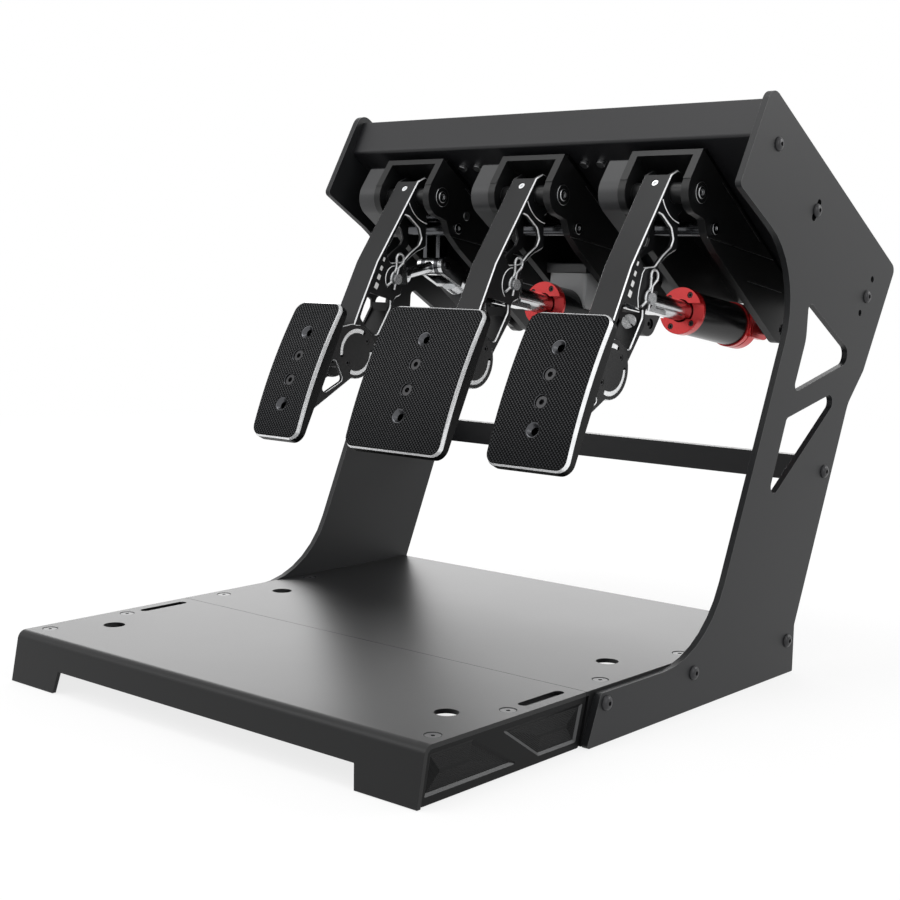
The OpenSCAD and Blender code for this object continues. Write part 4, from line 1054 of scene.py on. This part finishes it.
def plain_floor():
    """White floor that keeps the shadow near the object and is plain white farther out."""
    m = Maker("floor_white")
    m.put("Base Color", (0.92, 0.92, 0.92, 1))
    m.put("Roughness", 0.9)
    m.put("Specular IOR Level", 0.1)
    glow = m.add("ShaderNodeEmission")
    share = m.add("ShaderNodeMath", operation="MULTIPLY")
    mix = m.add("ShaderNodeMixShader")
    reach = m.add("ShaderNodeVectorMath", operation="LENGTH")
    m.link(m.place, reach.inputs[0])
    fade = m.add("ShaderNodeMapRange")
    fade.inputs["From Min"].default_value = 0.7
    fade.inputs["From Max"].default_value = 2.0
    fade.inputs["To Min"].default_value = 0.8
    fade.inputs["To Max"].default_value = 1.0
    m.link(reach.outputs["Value"], fade.inputs["Value"])
    m.link(fade.outputs["Result"], share.inputs[1])
    m.link(seen_rays(m.tree), share.inputs[0])
    m.link(share.outputs[0], mix.inputs["Fac"])
    m.link(m.shader.outputs["BSDF"], mix.inputs[1])
    m.link(glow.outputs["Emission"], mix.inputs[2])
    m.link(mix.outputs["Shader"], m.tree.nodes["Material Output"].inputs["Surface"])
    mesh = bpy.data.meshes.new("floor")
    corners = [(x * FLOOR_HALF, y * FLOOR_HALF, 0) for x, y in ((-1, -1), (1, -1), (1, 1), (-1, 1))]
    mesh.from_pydata(corners, [], [(0, 1, 2, 3)])
    mesh.materials.append(m.material)
    floor = bpy.data.objects.new("floor", mesh)
    floor.location.z = -FLOOR_DROP
    scene.collection.objects.link(floor)


def world_light():
    """Plain grey light all round, and white where the world is seen or mirrored."""
    world = bpy.data.worlds.new("studio")
    world.use_nodes = True
    tree = world.node_tree
    out = tree.nodes["World Output"]
    dim = tree.nodes["Background"]
    dim.inputs["Color"].default_value = (1, 1, 1, 1)
    dim.inputs["Strength"].default_value = 0.7
    white = tree.nodes.new("ShaderNodeBackground")
    white.inputs["Strength"].default_value = 1.0
    white.inputs["Color"].default_value = (1, 1, 1, 1)
    mix = tree.nodes.new("ShaderNodeMixShader")
    tree.links.new(seen_rays(tree), mix.inputs["Fac"])
    tree.links.new(dim.outputs["Background"], mix.inputs[1])
    tree.links.new(white.outputs["Background"], mix.inputs[2])
    tree.links.new(mix.outputs["Shader"], out.inputs["Surface"])
    scene.world = world


def area_light(name, at, towards, size, power):
    """Rectangular lamp that looks at a point and isn't seen itself; power is in watts."""
    data = bpy.data.lights.new(name, "AREA")
    data.shape = "RECTANGLE"
    data.size, data.size_y = size
    data.energy = power
    lamp = bpy.data.objects.new(name, data)
    lamp.location = at
    lamp.rotation_mode = "QUATERNION"
    lamp.rotation_quaternion = (Vector(towards) - Vector(at)).to_track_quat("-Z", "Y")
    lamp.visible_camera = False
    scene.collection.objects.link(lamp)


plain_floor()
world_light()
area_light("light_front_left", (-1.3, -1.6, 1.6), (0, 0, 0.2), (1.2, 1.2), 10)
area_light("light_right", (2.0, -0.3, 1.1), (0, 0, 0.25), (1.2, 1.6), 8)
area_light("light_top", (-0.35, -0.35, 2.1), (0.05, 0, 0.3), (1.1, 1.1), 13)
area_light("light_back_right", (1.6, 2.0, 1.25), (0.1, 0.1, 0.35), (1.0, 0.9), 12)
area_light("light_back", (-1.9, 2.3, 1.0), (0, 0, 0.1), (3.2, 1.5), 36)
scene.view_settings.view_transform = "Standard"
